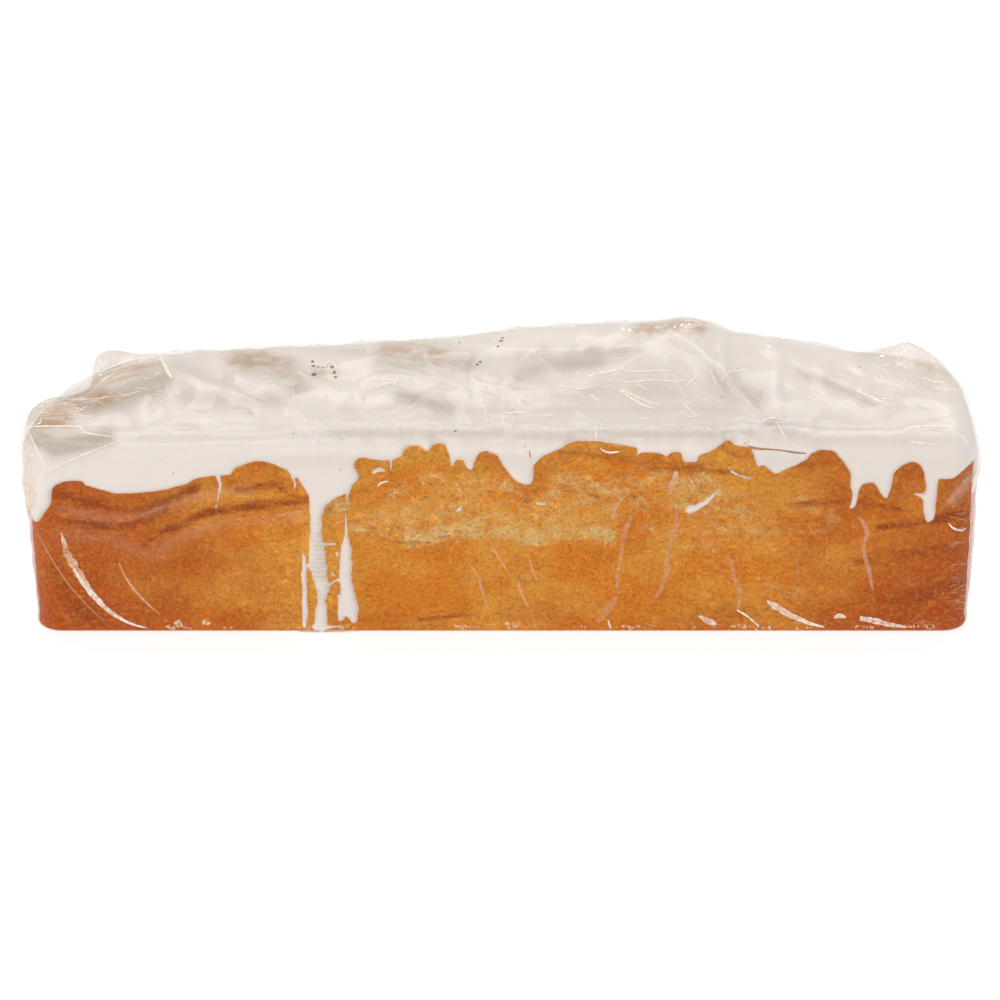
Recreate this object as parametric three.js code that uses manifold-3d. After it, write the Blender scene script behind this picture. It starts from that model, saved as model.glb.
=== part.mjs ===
// A long uncut lemon drizzle loaf cake in clear shrink film: sponge, poured icing, film.
// Millimetres, +X along the loaf, front at -Y, +Z up, origin under the middle of the base.
import * as THREE from 'three';
import { mergeVertices } from 'three/addons/utils/BufferGeometryUtils.js';
import Module from 'manifold-3d';

const wasm = await Module();
wasm.setup();

const { clamp, lerp, smoothstep, seededRandom } = THREE.MathUtils;

// ---- Sponge: driving dimensions -------------------------------------------------------
const HALF_LENGTH = 181.2;
const HALF_WIDTH = 51;
const DRAFT_LENGTH = 1; // how much further each end leans out at the shoulder
const DRAFT_WIDTH = 1.4; // how much further each side leans out at the shoulder
const SHOULDER = 78.5; // height of the straight walls
const SHOULDER_RADIUS = 5;
const BASE_RADIUS = 1.8;
const CORNER_RADIUS = 10;
const END_EDGE_DROP = 8.5; // of the shoulder as it rounds over each end
const END_BASE_RISE = 1; // of the base there
const MIDDLE_HEIGHT = 41; // the end faces close in on this height
const CROWN_RISE = 17.4; // of the low stretches of the ridge above the shoulder
const CROWN_DOME = { at: 58, rise: 10.8, left: 84, right: 48 };
const CROWN_KNOB = { at: 75, rise: 3.4, spread: 13 };
const CROWN_SAGS = [ // of the ridge towards each end
  { from: -70, to: -112, drop: 2.2 },
  { from: -118, to: -184, drop: 15.2 },
  { from: 112, to: 146, drop: 3 },
  { from: 146, to: 190, drop: 8 },
];
const CROWN_BLUNTNESS = 1.15;
const WALL_UNEVENNESS = 0.5;
const BASE_SHIFT = 0.9; // of the base along the loaf, against the shoulders
const END_SLUMP = { from: -146, to: -184, drop: 6.2 }; // of the left end's top, most at the back

// ---- Icing ----------------------------------------------------------------------------
const TOP_ICING = 2.3;
const WALL_ICING = 1.6;
const BEAD = { thick: 2.3, from: -84, to: 115, fade: 9, below: 1.5, spread: 6.5 }; // below the crown's foot
const THIN_SPOT = { x: -88, y: -6, spreadX: 17, spreadY: 11, loss: 1.2 };
const SLAB_FOOT = [59, 65]; // the top slab thins out between these heights on the ends
const SKIRT_SHOULDER = 71; // the skirt thins out above this, under the slab
const SKIRT_TOP = 76.3;
const SLAB_LAP = 2; // reach of its thin edge below the shoulders
const SKIRT_RIM = 0.9; // height of its bevelled edge
const SINK = 1; // how far hidden sides reach into the sponge before they are trimmed
const TOUCH_GAP = 0.3;

// Lower edge of the icing along the front, which laps further down over each end, and its
// drips: place along the loaf, half width, height of the tip, and a taper of 1 for a funnel
// or more for a blunt drip or a web between two.
const FRONT_EDGE = { middle: 74.3, lap: 13.3, left: [-76, -136], right: [172, 186] };
const EDGE_WAVE = { height: 1.3, stretch: 9 };
const FRONT_DRIPS = [
  { at: -179, half: 6, tip: 44, taper: 2 },
  { at: -142, half: 24, tip: 56, taper: 2 },
  { at: -107.5, half: 1.2, tip: 50.5, taper: 2 },
  { at: -68.5, half: 15, tip: 45.5, taper: 1 },
  { at: -57.5, half: 4.2, tip: 62, taper: 2 },
  { at: -46, half: 10, tip: 69.5, taper: 3 },
  { at: -38.5, half: 1.5, tip: 63, taper: 2 },
  { at: -15, half: 2.2, tip: 67, taper: 2 },
  { at: -8, half: 3.2, tip: 66.5, taper: 2 },
  { at: 10, half: 5, tip: 60, taper: 1.5 },
  { at: 52, half: 2, tip: 69, taper: 2 },
  { at: 62, half: 5, tip: 71.5, taper: 3 },
  { at: 72.5, half: 4, tip: 69, taper: 3 },
  { at: 107, half: 10, tip: 65.5, taper: 1.6 },
  { at: 135, half: 2.8, tip: 50, taper: 2 },
  { at: 141.5, half: 12, tip: 60.5, taper: 5 },
  { at: 148, half: 3, tip: 54, taper: 1.6 },
  { at: 165, half: 3.4, tip: 44.5, taper: 3 },
  { at: 171, half: 10, tip: 61.5, taper: 4 },
];
const WALL_DRIPS = { spacing: 19, jitter: 7, half: [1.8, 4.4], drop: [4, 17], seed: 11 };
const DRIP_ROUNDNESS = 0.5; // of a blunt drip's tip
const BACK_EDGE = 66.5;
const END_EDGE = 59;

// Long runs of icing down the front: height, place along the loaf and half width.
const RUN_THICKNESS = 1.4;
const RUN_MARGIN = 3; // the film stands off a run this far beside it
const RUN_STEP = 8; // and this far above and below each of its stops
const RUN_FOOT = 4;
const MIDDLE_RUN = [[54, -68.5, 4.4], [43, -70.8, 2.6], [30.5, -71, 3.9], [22, -70.5, 3.4],
  [13.5, -69, 2.2], [RUN_FOOT, -69.5, 2.9]];
const LEFT_RUN = [[33.5, -75.7, 0.7], [24, -76, 1.2], [13.5, -75.8, 1.2], [RUN_FOOT + 1.6, -74.8, 1.3],
  [RUN_FOOT, -70.8, 1.2]];
const RIGHT_RUN = [[65.5, -57.6, 0.8], [45.5, -59.2, 0.7], [32.5, -59.3, 2.2], [20, -59.1, 3],
  [11.5, -57.4, 3.2], [RUN_FOOT, -58.5, 3.6]];

// ---- Film -----------------------------------------------------------------------------
const FILM_THICKNESS = 0.4;
const FILM_CLEARANCE = 0.5;
const BASE_HEIGHT = FILM_CLEARANCE + FILM_THICKNESS; // of the sponge above the table
const FILM_TENTS = [
  { x: -155, y: 6, left: 4.5, right: 12, spreadY: 13, lift: 11 },
  { x: -174, y: -35, left: 8, right: 13, spreadY: 14, lift: 9 },
  { x: 161, y: 4, left: 9, right: 13, spreadY: 15, lift: 6.5 },
];
const FILM_VALLEY = { y: -37, spread: 9, lift: 1.2 };
const SEAL = { reach: 186.2, root: 176, sweep: 2.4, half: 37, z: 46, thick: 1.1, segments: 16 };
const SEAL_WAVE = { height: 1.6, pitch: 15 };
const VENT = { x: 96, z: 34, radius: 1.5, sides: 8, length: 16 };

// ---- Mesh steps -----------------------------------------------------------------------
const STATION_SPACING = 13.7;
const CORNER_STEPS = 3;
const END_RINGS = [0.72, 0.44, 0.16]; // size of the rings on each end face, as shares of it
const CROWN_STEPS = 10;
const WALL_STOPS = [0, 0.42, 0.8, 1];
const SKIRT_SPACING = { front: 8, back: 13, end: 10 };
const SKIRT_LEAST_STEP = 0.25;
const SLIM_DRIP = 1.6; // half width under which a drip gets the plain shares
const DRIP_SHARES = { plain: [-1, -0.6, 0, 0.6, 1], fine: [-1, -0.9, -0.55, 0, 0.55, 0.9, 1] };
const RUN_SIDES = 8;
const FILM_LOOK = { round: 26, step: 2.6 }; // how far round the film looks for icing under it
const DIFFERENCE_STEP = 0.05;

// ---- Loaf surface: u runs along the loaf and over its ends, v round the section ----------
const CORE_LENGTH = HALF_LENGTH - CORNER_RADIUS;
const CORNER_ARC = (Math.PI / 2) * CORNER_RADIUS;
const CORNER_SCALE = 1 - CORNER_RADIUS / HALF_WIDTH;
const TOP_SCALE = 1 - END_EDGE_DROP / (SHOULDER - MIDDLE_HEIGHT);
const BASE_SCALE = 1 - END_BASE_RISE / MIDDLE_HEIGHT;
const END_REACH = HALF_WIDTH - CORNER_RADIUS;
const U_END = CORE_LENGTH + CORNER_ARC + END_REACH;
const CROWN_HALF = HALF_WIDTH - SHOULDER_RADIUS;
const V_BASE = HALF_WIDTH - BASE_RADIUS;
const V_WALL = V_BASE + (Math.PI / 2) * BASE_RADIUS;
const V_SHOULDER = V_WALL + SHOULDER - SHOULDER_RADIUS - BASE_RADIUS;
const V_CROWN = V_SHOULDER + (Math.PI / 2) * SHOULDER_RADIUS;
const V_HALF = V_CROWN + CROWN_HALF;

const bell = (x, at, spread) => Math.exp(-(((x - at) / spread) ** 2));

// Rise of the ridge above the shoulder at a place along the loaf.
function crownRise(x) {
  const spread = x < CROWN_DOME.at ? CROWN_DOME.left : CROWN_DOME.right;
  const dome = CROWN_DOME.rise * bell(x, CROWN_DOME.at, spread);
  const knob = CROWN_KNOB.rise * bell(x, CROWN_KNOB.at, CROWN_KNOB.spread);
  const sag = CROWN_SAGS.reduce((sum, { from, to, drop }) => (
    sum + drop * smoothstep((x - from) / (to - from), 0, 1)
  ), 0);
  return CROWN_RISE + dome + knob - sag;
}

// One point of the full section, as [y, z], at v measured from the middle of the base.
function sectionPoint(v, rise) {
  const back = v > V_HALF;
  const w = back ? 2 * V_HALF - v : v;
  let y;
  let z;
  if (w < V_BASE) {
    [y, z] = [w, 0];
  } else if (w < V_WALL) {
    const angle = (w - V_BASE) / BASE_RADIUS;
    [y, z] = [V_BASE + BASE_RADIUS * Math.sin(angle), BASE_RADIUS * (1 - Math.cos(angle))];
  } else if (w < V_SHOULDER) {
    [y, z] = [HALF_WIDTH, BASE_RADIUS + w - V_WALL];
  } else if (w < V_CROWN) {
    const angle = (w - V_SHOULDER) / SHOULDER_RADIUS;
    y = CROWN_HALF + SHOULDER_RADIUS * Math.cos(angle);
    z = SHOULDER - SHOULDER_RADIUS * (1 - Math.sin(angle));
  } else {
    y = Math.max(V_HALF - w, 0);
    z = SHOULDER + rise * Math.max(Math.cos((Math.PI / 2) * (y / CROWN_HALF)), 0) ** CROWN_BLUNTNESS;
  }
  return [back ? y : -y, z];
}

// Where the section at u stands along the loaf, how much it has closed in across and over the end
// face, and how far it has turned round the corner.
function station(u) {
  const side = Math.sign(u);
  const reach = Math.abs(u);
  if (reach <= CORE_LENGTH) {
    return { x: u, across: 1, left: 1, turned: 0 };
  }
  const along = reach - CORE_LENGTH;
  if (along < CORNER_ARC) {
    const angle = along / CORNER_RADIUS;
    const turned = 1 - Math.cos(angle);
    return {
      x: side * (CORE_LENGTH + CORNER_RADIUS * Math.sin(angle)),
      across: lerp(1, CORNER_SCALE, turned),
      left: 1,
      turned,
    };
  }
  const left = Math.max(1 - (along - CORNER_ARC) / END_REACH, 0);
  return { x: side * HALF_LENGTH, across: CORNER_SCALE * left, left, turned: 1 };
}

// Height that the end faces and corners keep of a height on the front.
function endHeight(z, turned, left) {
  const scale = z > MIDDLE_HEIGHT ? TOP_SCALE : BASE_SCALE;
  return MIDDLE_HEIGHT + (z - MIDDLE_HEIGHT) * lerp(1, scale, turned) * left;
}

// The straight-sided loaf before its draft.
function moldPoint(u, v) {
  const { x, across, left, turned } = station(u);
  const [y, z] = sectionPoint(v, crownRise(x));
  return new THREE.Vector3(x, y * across, endHeight(z, turned, left));
}

function moldNormal(u, v) {
  if (Math.abs(u) >= U_END - DIFFERENCE_STEP) {
    return new THREE.Vector3(Math.sign(u), 0, 0);
  }
  const along = moldPoint(u + DIFFERENCE_STEP, v).sub(moldPoint(u - DIFFERENCE_STEP, v));
  const round = moldPoint(u, v + DIFFERENCE_STEP).sub(moldPoint(u, Math.max(v - DIFFERENCE_STEP, 0)));
  return along.cross(round).normalize();
}

// Leans the walls out with height, makes them slightly uneven, lets the left end slump to the
// back and stands the loaf up.
function settle(p) {
  const lift = clamp(p.z / SHOULDER, 0, 1);
  const wave = WALL_UNEVENNESS * Math.sin(p.x / 23 + 1.3) * Math.sin(lift * Math.PI);
  const x = p.x * (1 + (DRAFT_LENGTH / HALF_LENGTH) * lift) + BASE_SHIFT * (1 - lift);
  const y = p.y * (1 + (DRAFT_WIDTH / HALF_WIDTH) * lift + wave / HALF_WIDTH);
  const { from, to, drop } = END_SLUMP;
  const sunk = drop * smoothstep((p.x - from) / (to - from), 0, 1) * lift ** 2;
  return new THREE.Vector3(x, y, p.z + BASE_HEIGHT - sunk * (1 + p.y / HALF_WIDTH));
}

function layerPoint(u, v, depth) {
  return settle(moldPoint(u, v).addScaledVector(moldNormal(u, v), depth));
}

// ---- Plan of the walls: s runs round the loaf from the middle of the front ----------------
const PLAN_FRONT = CORE_LENGTH;
const PLAN_CORNER = PLAN_FRONT + CORNER_ARC;
const PLAN_END = PLAN_CORNER + 2 * (HALF_WIDTH - CORNER_RADIUS);
const PLAN_BACK = PLAN_END + CORNER_ARC;
const PLAN_HALF = PLAN_BACK + CORE_LENGTH;

// Point and outward direction of the wall's plan, for s from -PLAN_HALF to PLAN_HALF.
function planPoint(s) {
  const side = Math.sign(s) || 1;
  const w = Math.abs(s);
  if (w < PLAN_FRONT || w >= PLAN_BACK) {
    const front = w < PLAN_FRONT ? -1 : 1;
    return { x: side * (front < 0 ? w : PLAN_HALF - w), y: front * HALF_WIDTH, nx: 0, ny: front };
  }
  if (w >= PLAN_CORNER && w < PLAN_END) {
    return { x: side * HALF_LENGTH, y: w - PLAN_CORNER - END_REACH, nx: side, ny: 0 };
  }
  const front = w < PLAN_CORNER ? -1 : 1;
  const angle = (front < 0 ? w - PLAN_FRONT : PLAN_BACK - w) / CORNER_RADIUS;
  const [nx, ny] = [side * Math.sin(angle), front * Math.cos(angle)];
  return { x: side * CORE_LENGTH + CORNER_RADIUS * nx, y: front * END_REACH + CORNER_RADIUS * ny, nx, ny };
}

// The s of the wall nearest to a point of the loaf.
function planPlace(x, y) {
  const side = Math.sign(x) || 1;
  const reach = Math.abs(x);
  if (reach <= CORE_LENGTH) {
    return y < 0 ? x : side * (PLAN_HALF - reach);
  }
  if (Math.abs(y) <= END_REACH) {
    return side * (PLAN_CORNER + y + END_REACH);
  }
  const angle = Math.atan2(reach - CORE_LENGTH, Math.abs(y) - END_REACH);
  const along = clamp(angle, 0, Math.PI / 2) * CORNER_RADIUS;
  return side * (y < 0 ? PLAN_FRONT + along : PLAN_BACK - along);
}

function wallPoint(s, z, depth) {
  const { x, y, nx, ny } = planPoint(s);
  return settle(new THREE.Vector3(x + nx * depth, y + ny * depth, z));
}

// ---- Icing edge ------------------------------------------------------------------------
// Drips on the ends and the back follow a rule with a seeded draw.
function drawWallDrips() {
  const { spacing, jitter, seed } = WALL_DRIPS;
  seededRandom(seed);
  const drips = [];
  const last = 2 * PLAN_HALF - PLAN_CORNER - spacing / 2;
  for (let s = PLAN_CORNER + spacing / 2; s < last; s += spacing) {
    const at = s + jitter * (seededRandom() - 0.5);
    const half = lerp(...WALL_DRIPS.half, seededRandom());
    const drop = lerp(...WALL_DRIPS.drop, seededRandom() ** 2);
    drips.push({ at: at > PLAN_HALF ? at - 2 * PLAN_HALF : at, half, drop, taper: 2 });
  }
  return drips;
}

// Height of the icing's edge between its drips.
function plainEdge(s) {
  const wave = EDGE_WAVE.height * Math.sin(s / EDGE_WAVE.stretch);
  if (Math.abs(s) < PLAN_CORNER) {
    const { middle, lap, left, right } = FRONT_EDGE;
    const share = 1 - smoothstep(s, left[1], left[0]) + smoothstep(s, right[0], right[1]);
    return middle + wave - lap * share;
  }
  const back = smoothstep(Math.abs(s), PLAN_END, PLAN_BACK);
  return lerp(END_EDGE, BACK_EDGE, back) + wave;
}

const WALL_DRIP_LIST = [
  ...FRONT_DRIPS.map((drip) => ({ ...drip, drop: Math.max(plainEdge(drip.at) - drip.tip, 1) })),
  ...drawWallDrips(),
];

function icingEdge(s) {
  let drop = 0;
  for (const drip of WALL_DRIP_LIST) {
    const q = Math.abs(s - drip.at) / drip.half;
    if (q < 1) {
      const fullness = (1 - q ** drip.taper) ** (drip.taper > 1 ? DRIP_ROUNDNESS : 1);
      drop = Math.max(drop, drip.drop * fullness);
    }
  }
  return plainEdge(s) - drop;
}

// Thickness of the icing over the crown and shoulders.
function topThickness(p, v) {
  const w = Math.min(v, 2 * V_HALF - v);
  const { thick, from, to, fade, below, spread } = BEAD;
  const reach = smoothstep(p.x, from - fade, from + fade) * (1 - smoothstep(p.x, to - fade, to + fade));
  const bead = thick * reach * bell(w, V_CROWN - below, spread);
  const { x, y, spreadX, spreadY, loss } = THIN_SPOT;
  return TOP_ICING + bead - loss * bell(p.x, x, spreadX) * bell(p.y, y, spreadY);
}

// How far the icing stands off the sponge at a point of the surface, 0 where it is bare.
function icingCover(u, v) {
  const p = moldPoint(u, v);
  if (p.z >= SKIRT_TOP) {
    return topThickness(p, v);
  }
  if (p.z > icingEdge(planPlace(p.x, p.y)) - 1) {
    return WALL_ICING;
  }
  const onRun = p.y < 0 && [MIDDLE_RUN, LEFT_RUN, RIGHT_RUN].some((run) => run.some(
    ([z, x, half]) => Math.abs(p.x - x) < half + RUN_MARGIN && Math.abs(p.z - z) < RUN_STEP,
  ));
  return onRun ? RUN_THICKNESS : 0;
}

// ---- Meshes and solids -------------------------------------------------------------------
function stationList() {
  const list = [];
  const spans = Math.ceil((2 * CORE_LENGTH) / STATION_SPACING);
  for (let i = 0; i <= spans; i += 1) {
    list.push(lerp(-CORE_LENGTH, CORE_LENGTH, i / spans));
  }
  for (let i = 1; i <= CORNER_STEPS; i += 1) {
    const u = CORE_LENGTH + (CORNER_ARC * i) / CORNER_STEPS;
    list.push(u, -u);
  }
  for (const share of END_RINGS) {
    const u = U_END - END_REACH * share;
    list.push(u, -u);
  }
  return list.sort((a, b) => a - b);
}

function columnList() {
  const half = [V_BASE, (V_BASE + V_WALL) / 2, ...WALL_STOPS.map((stop) => lerp(V_WALL, V_SHOULDER, stop))];
  half.push((V_SHOULDER + V_CROWN) / 2);
  for (let i = 0; i < CROWN_STEPS / 2; i += 1) {
    half.push(lerp(V_CROWN, V_HALF, i / (CROWN_STEPS / 2)));
  }
  return [0, ...half, V_HALF, ...half.map((v) => 2 * V_HALF - v).reverse()];
}

// Closed surface of rings round the loaf, depth(u, v) over the sponge, with a pole at each end.
function loafSurface(stations, columns, depth) {
  const positions = [];
  for (const u of stations) {
    for (const v of columns) {
      positions.push(...layerPoint(u, v, depth(u, v)).toArray());
    }
  }
  const around = columns.length;
  const index = [];
  for (let i = 0; i + 1 < stations.length; i += 1) {
    for (let j = 0; j < around; j += 1) {
      const [a, b] = [i * around + j, i * around + ((j + 1) % around)];
      index.push(a, a + around, b, b, a + around, b + around);
    }
  }
  for (const end of [0, 1]) {
    const pole = positions.length / 3;
    const tip = end ? U_END : -U_END;
    positions.push(...layerPoint(tip, V_HALF, depth(tip, V_HALF)).toArray());
    const ring = end ? (stations.length - 1) * around : 0;
    for (let j = 0; j < around; j += 1) {
      const [a, b] = [ring + j, ring + ((j + 1) % around)];
      index.push(...(end ? [a, pole, b] : [a, b, pole]));
    }
  }
  return bufferGeometry(positions, index);
}

// Closed skin from a ring of cross-sections; a loop of sections closes on itself, a bar is capped.
function sectionSkin(sections, closed) {
  const sides = sections[0].length;
  const positions = sections.flat().flatMap((p) => p.toArray());
  const index = [];
  const last = closed ? sections.length : sections.length - 1;
  for (let i = 0; i < last; i += 1) {
    const next = (i + 1) % sections.length;
    for (let j = 0; j < sides; j += 1) {
      const k = (j + 1) % sides;
      const [a, b, c, d] = [i * sides + j, i * sides + k, next * sides + j, next * sides + k];
      index.push(a, c, b, b, c, d);
    }
  }
  if (!closed) {
    const foot = (sections.length - 1) * sides;
    for (let j = 1; j + 1 < sides; j += 1) {
      index.push(0, j, j + 1, foot, foot + j + 1, foot + j);
    }
  }
  return bufferGeometry(positions, index);
}

function bufferGeometry(positions, index) {
  const geometry = new THREE.BufferGeometry();
  geometry.setAttribute('position', new THREE.Float32BufferAttribute(positions, 3));
  geometry.setIndex(index);
  return geometry;
}

// Enclosed volume with its sign, which is negative where the faces point inwards.
function signedVolume(vertices, triangles) {
  const corner = (k) => new THREE.Vector3().fromArray(vertices, 3 * triangles[k]);
  let volume = 0;
  for (let k = 0; k < triangles.length; k += 3) {
    volume += corner(k).dot(corner(k + 1).cross(corner(k + 2))) / 6;
  }
  return volume;
}

function toSolid(geometry) {
  const plain = geometry.clone();
  plain.deleteAttribute('normal');
  plain.deleteAttribute('uv');
  const merged = mergeVertices(plain, 1e-5);
  const vertProperties = new Float32Array(merged.attributes.position.array);
  const triVerts = new Uint32Array(merged.index.array);
  if (signedVolume(vertProperties, triVerts) < 0) {
    triVerts.reverse();
  }
  return new wasm.Manifold(new wasm.Mesh({ numProp: 3, vertProperties, triVerts }));
}

function toGeometry(solid) {
  const { vertProperties, triVerts } = solid.getMesh();
  const geometry = bufferGeometry(Array.from(vertProperties), Array.from(triVerts));
  geometry.computeVertexNormals();
  return geometry;
}

// ---- Sponge ------------------------------------------------------------------------------
const stations = stationList();
const columns = columnList();

function spongeSolid(swell) {
  return toSolid(loafSurface(stations, columns, () => swell));
}

// ---- Icing -------------------------------------------------------------------------------
// The slab over the crown and shoulders, which dips into the sponge below the shoulders.
function topSlab() {
  const from = V_SHOULDER - SLAB_LAP;
  const full = (V_SHOULDER + V_CROWN) / 2;
  return toSolid(loafSurface(stations, columns, (u, v) => {
    const p = moldPoint(u, v);
    const round = (Math.min(v, 2 * V_HALF - v) - from) / (full - from);
    const down = (p.z - SLAB_FOOT[0]) / (SLAB_FOOT[1] - SLAB_FOOT[0]);
    return lerp(-SINK, topThickness(p, v), clamp(Math.min(round, down), 0, 1));
  }));
}

// Places round the walls where the skirt has a section: even steps, and closer at each drip.
function skirtPlaces() {
  const places = [];
  const evenly = (from, to, spacing) => {
    const count = Math.ceil((to - from) / spacing);
    for (let i = 0; i < count; i += 1) {
      places.push(lerp(from, to, i / count));
    }
  };
  evenly(-PLAN_FRONT, PLAN_FRONT, SKIRT_SPACING.front);
  for (const side of [-1, 1]) {
    evenly(side * PLAN_FRONT, side * PLAN_CORNER, side * CORNER_ARC / CORNER_STEPS);
    evenly(side * PLAN_CORNER, side * PLAN_END, side * SKIRT_SPACING.end);
    evenly(side * PLAN_END, side * PLAN_BACK, side * CORNER_ARC / CORNER_STEPS);
    evenly(side * PLAN_BACK, side * PLAN_HALF, side * SKIRT_SPACING.back);
  }
  for (const { at, half, taper } of WALL_DRIP_LIST) {
    const plain = half < SLIM_DRIP || taper <= 1 || Math.abs(at) > PLAN_CORNER;
    const shares = plain ? DRIP_SHARES.plain : DRIP_SHARES.fine;
    places.push(...shares.map((share) => at + share * half));
  }
  const sorted = places.map((s) => (s > PLAN_HALF ? s - 2 * PLAN_HALF : s)).sort((a, b) => a - b);
  return sorted.filter((s, i) => i === 0 || s - sorted[i - 1] > SKIRT_LEAST_STEP);
}

// The skirt of icing down the walls, with a bevelled edge that follows every drip.
function wallSkirt() {
  const sections = skirtPlaces().map((s) => {
    const turned = 1 - Math.abs(planPoint(s).ny);
    const top = endHeight(SKIRT_TOP, turned, 1);
    const foot = Math.min(icingEdge(s), top - 2 * SKIRT_RIM);
    const rim = foot + SKIRT_RIM;
    const shoulder = Math.max(endHeight(SKIRT_SHOULDER, turned, 1), lerp(rim, top, 0.5));
    return [
      wallPoint(s, foot, -SINK),
      wallPoint(s, foot, 0),
      wallPoint(s, rim, WALL_ICING),
      wallPoint(s, shoulder, WALL_ICING),
      wallPoint(s, top, TOUCH_GAP),
      wallPoint(s, top, -SINK),
    ];
  });
  return toSolid(sectionSkin(sections, true));
}

// One flattened run of icing lying on the front wall.
function iceRun(stops) {
  const sections = stops.map(([z, x, half]) => {
    const section = [];
    for (let i = 0; i < RUN_SIDES; i += 1) {
      const angle = (2 * Math.PI * i) / RUN_SIDES;
      section.push(wallPoint(x + half * Math.cos(angle), z, RUN_THICKNESS * Math.sin(angle)));
    }
    return section;
  });
  return toSolid(sectionSkin(sections, false));
}

function icingSolid() {
  const runs = [MIDDLE_RUN, LEFT_RUN, RIGHT_RUN].map(iceRun);
  const poured = runs.reduce((solid, run) => solid.add(run), topSlab().add(wallSkirt()));
  return largestBody(poured.subtract(spongeSolid(TOUCH_GAP)));
}

// Trimming can leave crumbs cut off from the rest, and only the main body is kept.
function largestBody(solid) {
  const bodies = solid.decompose();
  return bodies.reduce((best, body) => (body.volume() > best.volume() ? body : best));
}

// ---- Film --------------------------------------------------------------------------------
// Clear distance of the film's inside from the sponge: over the icing nearby, with its tents.
function filmDepth(u, v) {
  let cover = 0;
  for (let du = -STATION_SPACING; du <= STATION_SPACING; du += FILM_LOOK.step) {
    for (let dv = -FILM_LOOK.round; dv <= FILM_LOOK.round; dv += FILM_LOOK.step) {
      const place = clamp(u + du, -U_END, U_END);
      const round = clamp(v + dv, 0, 2 * V_HALF);
      cover = Math.max(cover, icingCover(place, round));
    }
  }
  const p = moldPoint(u, v);
  const slope = moldNormal(u, v).z;
  const upward = Math.max(slope, 0) ** 2;
  const standing = 1 - Math.max(-slope, 0); // the film turns in tight under the walls
  let lift = FILM_VALLEY.lift * upward * bell(Math.abs(p.y), -FILM_VALLEY.y, FILM_VALLEY.spread);
  for (const tent of FILM_TENTS) {
    const spreadX = p.x < tent.x ? tent.left : tent.right;
    lift += tent.lift * upward * bell(p.x, tent.x, spreadX) * bell(p.y, tent.y, tent.spreadY);
  }
  return FILM_CLEARANCE + cover * standing + lift;
}

// The crimped seal across one end, a thin wavy tongue.
function endSeal(side) {
  const sections = [];
  for (let i = 0; i <= SEAL.segments; i += 1) {
    const y = lerp(-SEAL.half, SEAL.half, i / SEAL.segments);
    const z = SEAL.z + SEAL_WAVE.height * Math.sin((2 * Math.PI * y) / SEAL_WAVE.pitch);
    const reach = SEAL.reach - SEAL.sweep * (1 - Math.cos((Math.PI / 2) * (y / SEAL.half)));
    const corners = [[SEAL.root, -0.5], [reach, -0.5], [reach, 0.5], [SEAL.root, 0.5]];
    sections.push(corners.map(([x, step]) => new THREE.Vector3(side * x, y, z + step * SEAL.thick)));
  }
  return toSolid(sectionSkin(sections, false));
}

// A pinhole through the back that lets air out as the film shrinks.
function ventHole() {
  const hole = new THREE.CylinderGeometry(VENT.radius, VENT.radius, VENT.length, VENT.sides);
  hole.translate(VENT.x, HALF_WIDTH, VENT.z);
  return toSolid(hole);
}

// The film's surface at a distance from its inside; it is drawn flat under the base.
function filmSurface(distance) {
  return toSolid(loafSurface(stations, columns, (u, v) => {
    const underBase = Math.abs(v - V_HALF) >= V_HALF - V_BASE;
    return distance + (underBase ? FILM_CLEARANCE : filmDepth(u, v));
  }));
}

function filmSolid() {
  const sealed = filmSurface(FILM_THICKNESS).add(endSeal(-1)).add(endSeal(1));
  return sealed.subtract(filmSurface(0)).subtract(ventHole());
}

// ---- Scene graph -------------------------------------------------------------------------
function piece(name, solid, look) {
  const mesh = new THREE.Mesh(toGeometry(solid), new THREE.MeshStandardMaterial(look));
  mesh.name = name;
  return mesh;
}

const loaf = new THREE.Group();
loaf.name = 'lemon_drizzle_loaf';
loaf.add(piece('sponge', spongeSolid(0), { color: 0xc4802f, roughness: 0.85, metalness: 0 }));
loaf.add(piece('icing', icingSolid(), { color: 0xeae1da, roughness: 0.45, metalness: 0 }));
loaf.add(piece('film', filmSolid(), {
  color: 0xf4f2ee, roughness: 0.12, metalness: 0, transparent: true, opacity: 0.3,
}));

export default loaf;
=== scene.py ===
"""A long uncut lemon drizzle loaf in clear shrink film: sponge, poured icing, film and the bits on them.

The loaf stands on the floor with +X along it and its front at -Y. Sizes are in millimetres, and meshes
are written in metres. Some places are given as (across, down) in the front view's frame of 1000 by 1000.
"""

import itertools
import logging
import math
from dataclasses import dataclass
from enum import Enum
from functools import cached_property
from typing import Iterable, Sequence

import bpy
import numpy as np
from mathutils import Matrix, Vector
from mathutils.bvhtree import BVHTree


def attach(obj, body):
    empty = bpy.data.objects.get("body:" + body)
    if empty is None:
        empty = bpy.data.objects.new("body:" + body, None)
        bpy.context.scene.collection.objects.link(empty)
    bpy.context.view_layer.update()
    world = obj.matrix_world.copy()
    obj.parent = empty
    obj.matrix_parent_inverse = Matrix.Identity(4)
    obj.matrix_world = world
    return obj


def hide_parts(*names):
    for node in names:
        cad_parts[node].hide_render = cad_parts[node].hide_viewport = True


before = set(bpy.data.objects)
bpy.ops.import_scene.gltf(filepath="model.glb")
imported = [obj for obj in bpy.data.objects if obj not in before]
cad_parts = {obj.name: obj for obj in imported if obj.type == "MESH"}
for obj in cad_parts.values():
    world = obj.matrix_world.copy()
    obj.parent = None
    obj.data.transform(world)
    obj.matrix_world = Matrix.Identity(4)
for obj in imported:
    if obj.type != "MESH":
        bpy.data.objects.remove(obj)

LOG = logging.getLogger("loaf")
MM = 0.001
BODY = "root"
FRAME_SIDE = 1000.0
HALF_FRAME = FRAME_SIDE / 2
X_AXIS = (1.0, 0.0, 0.0)
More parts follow.
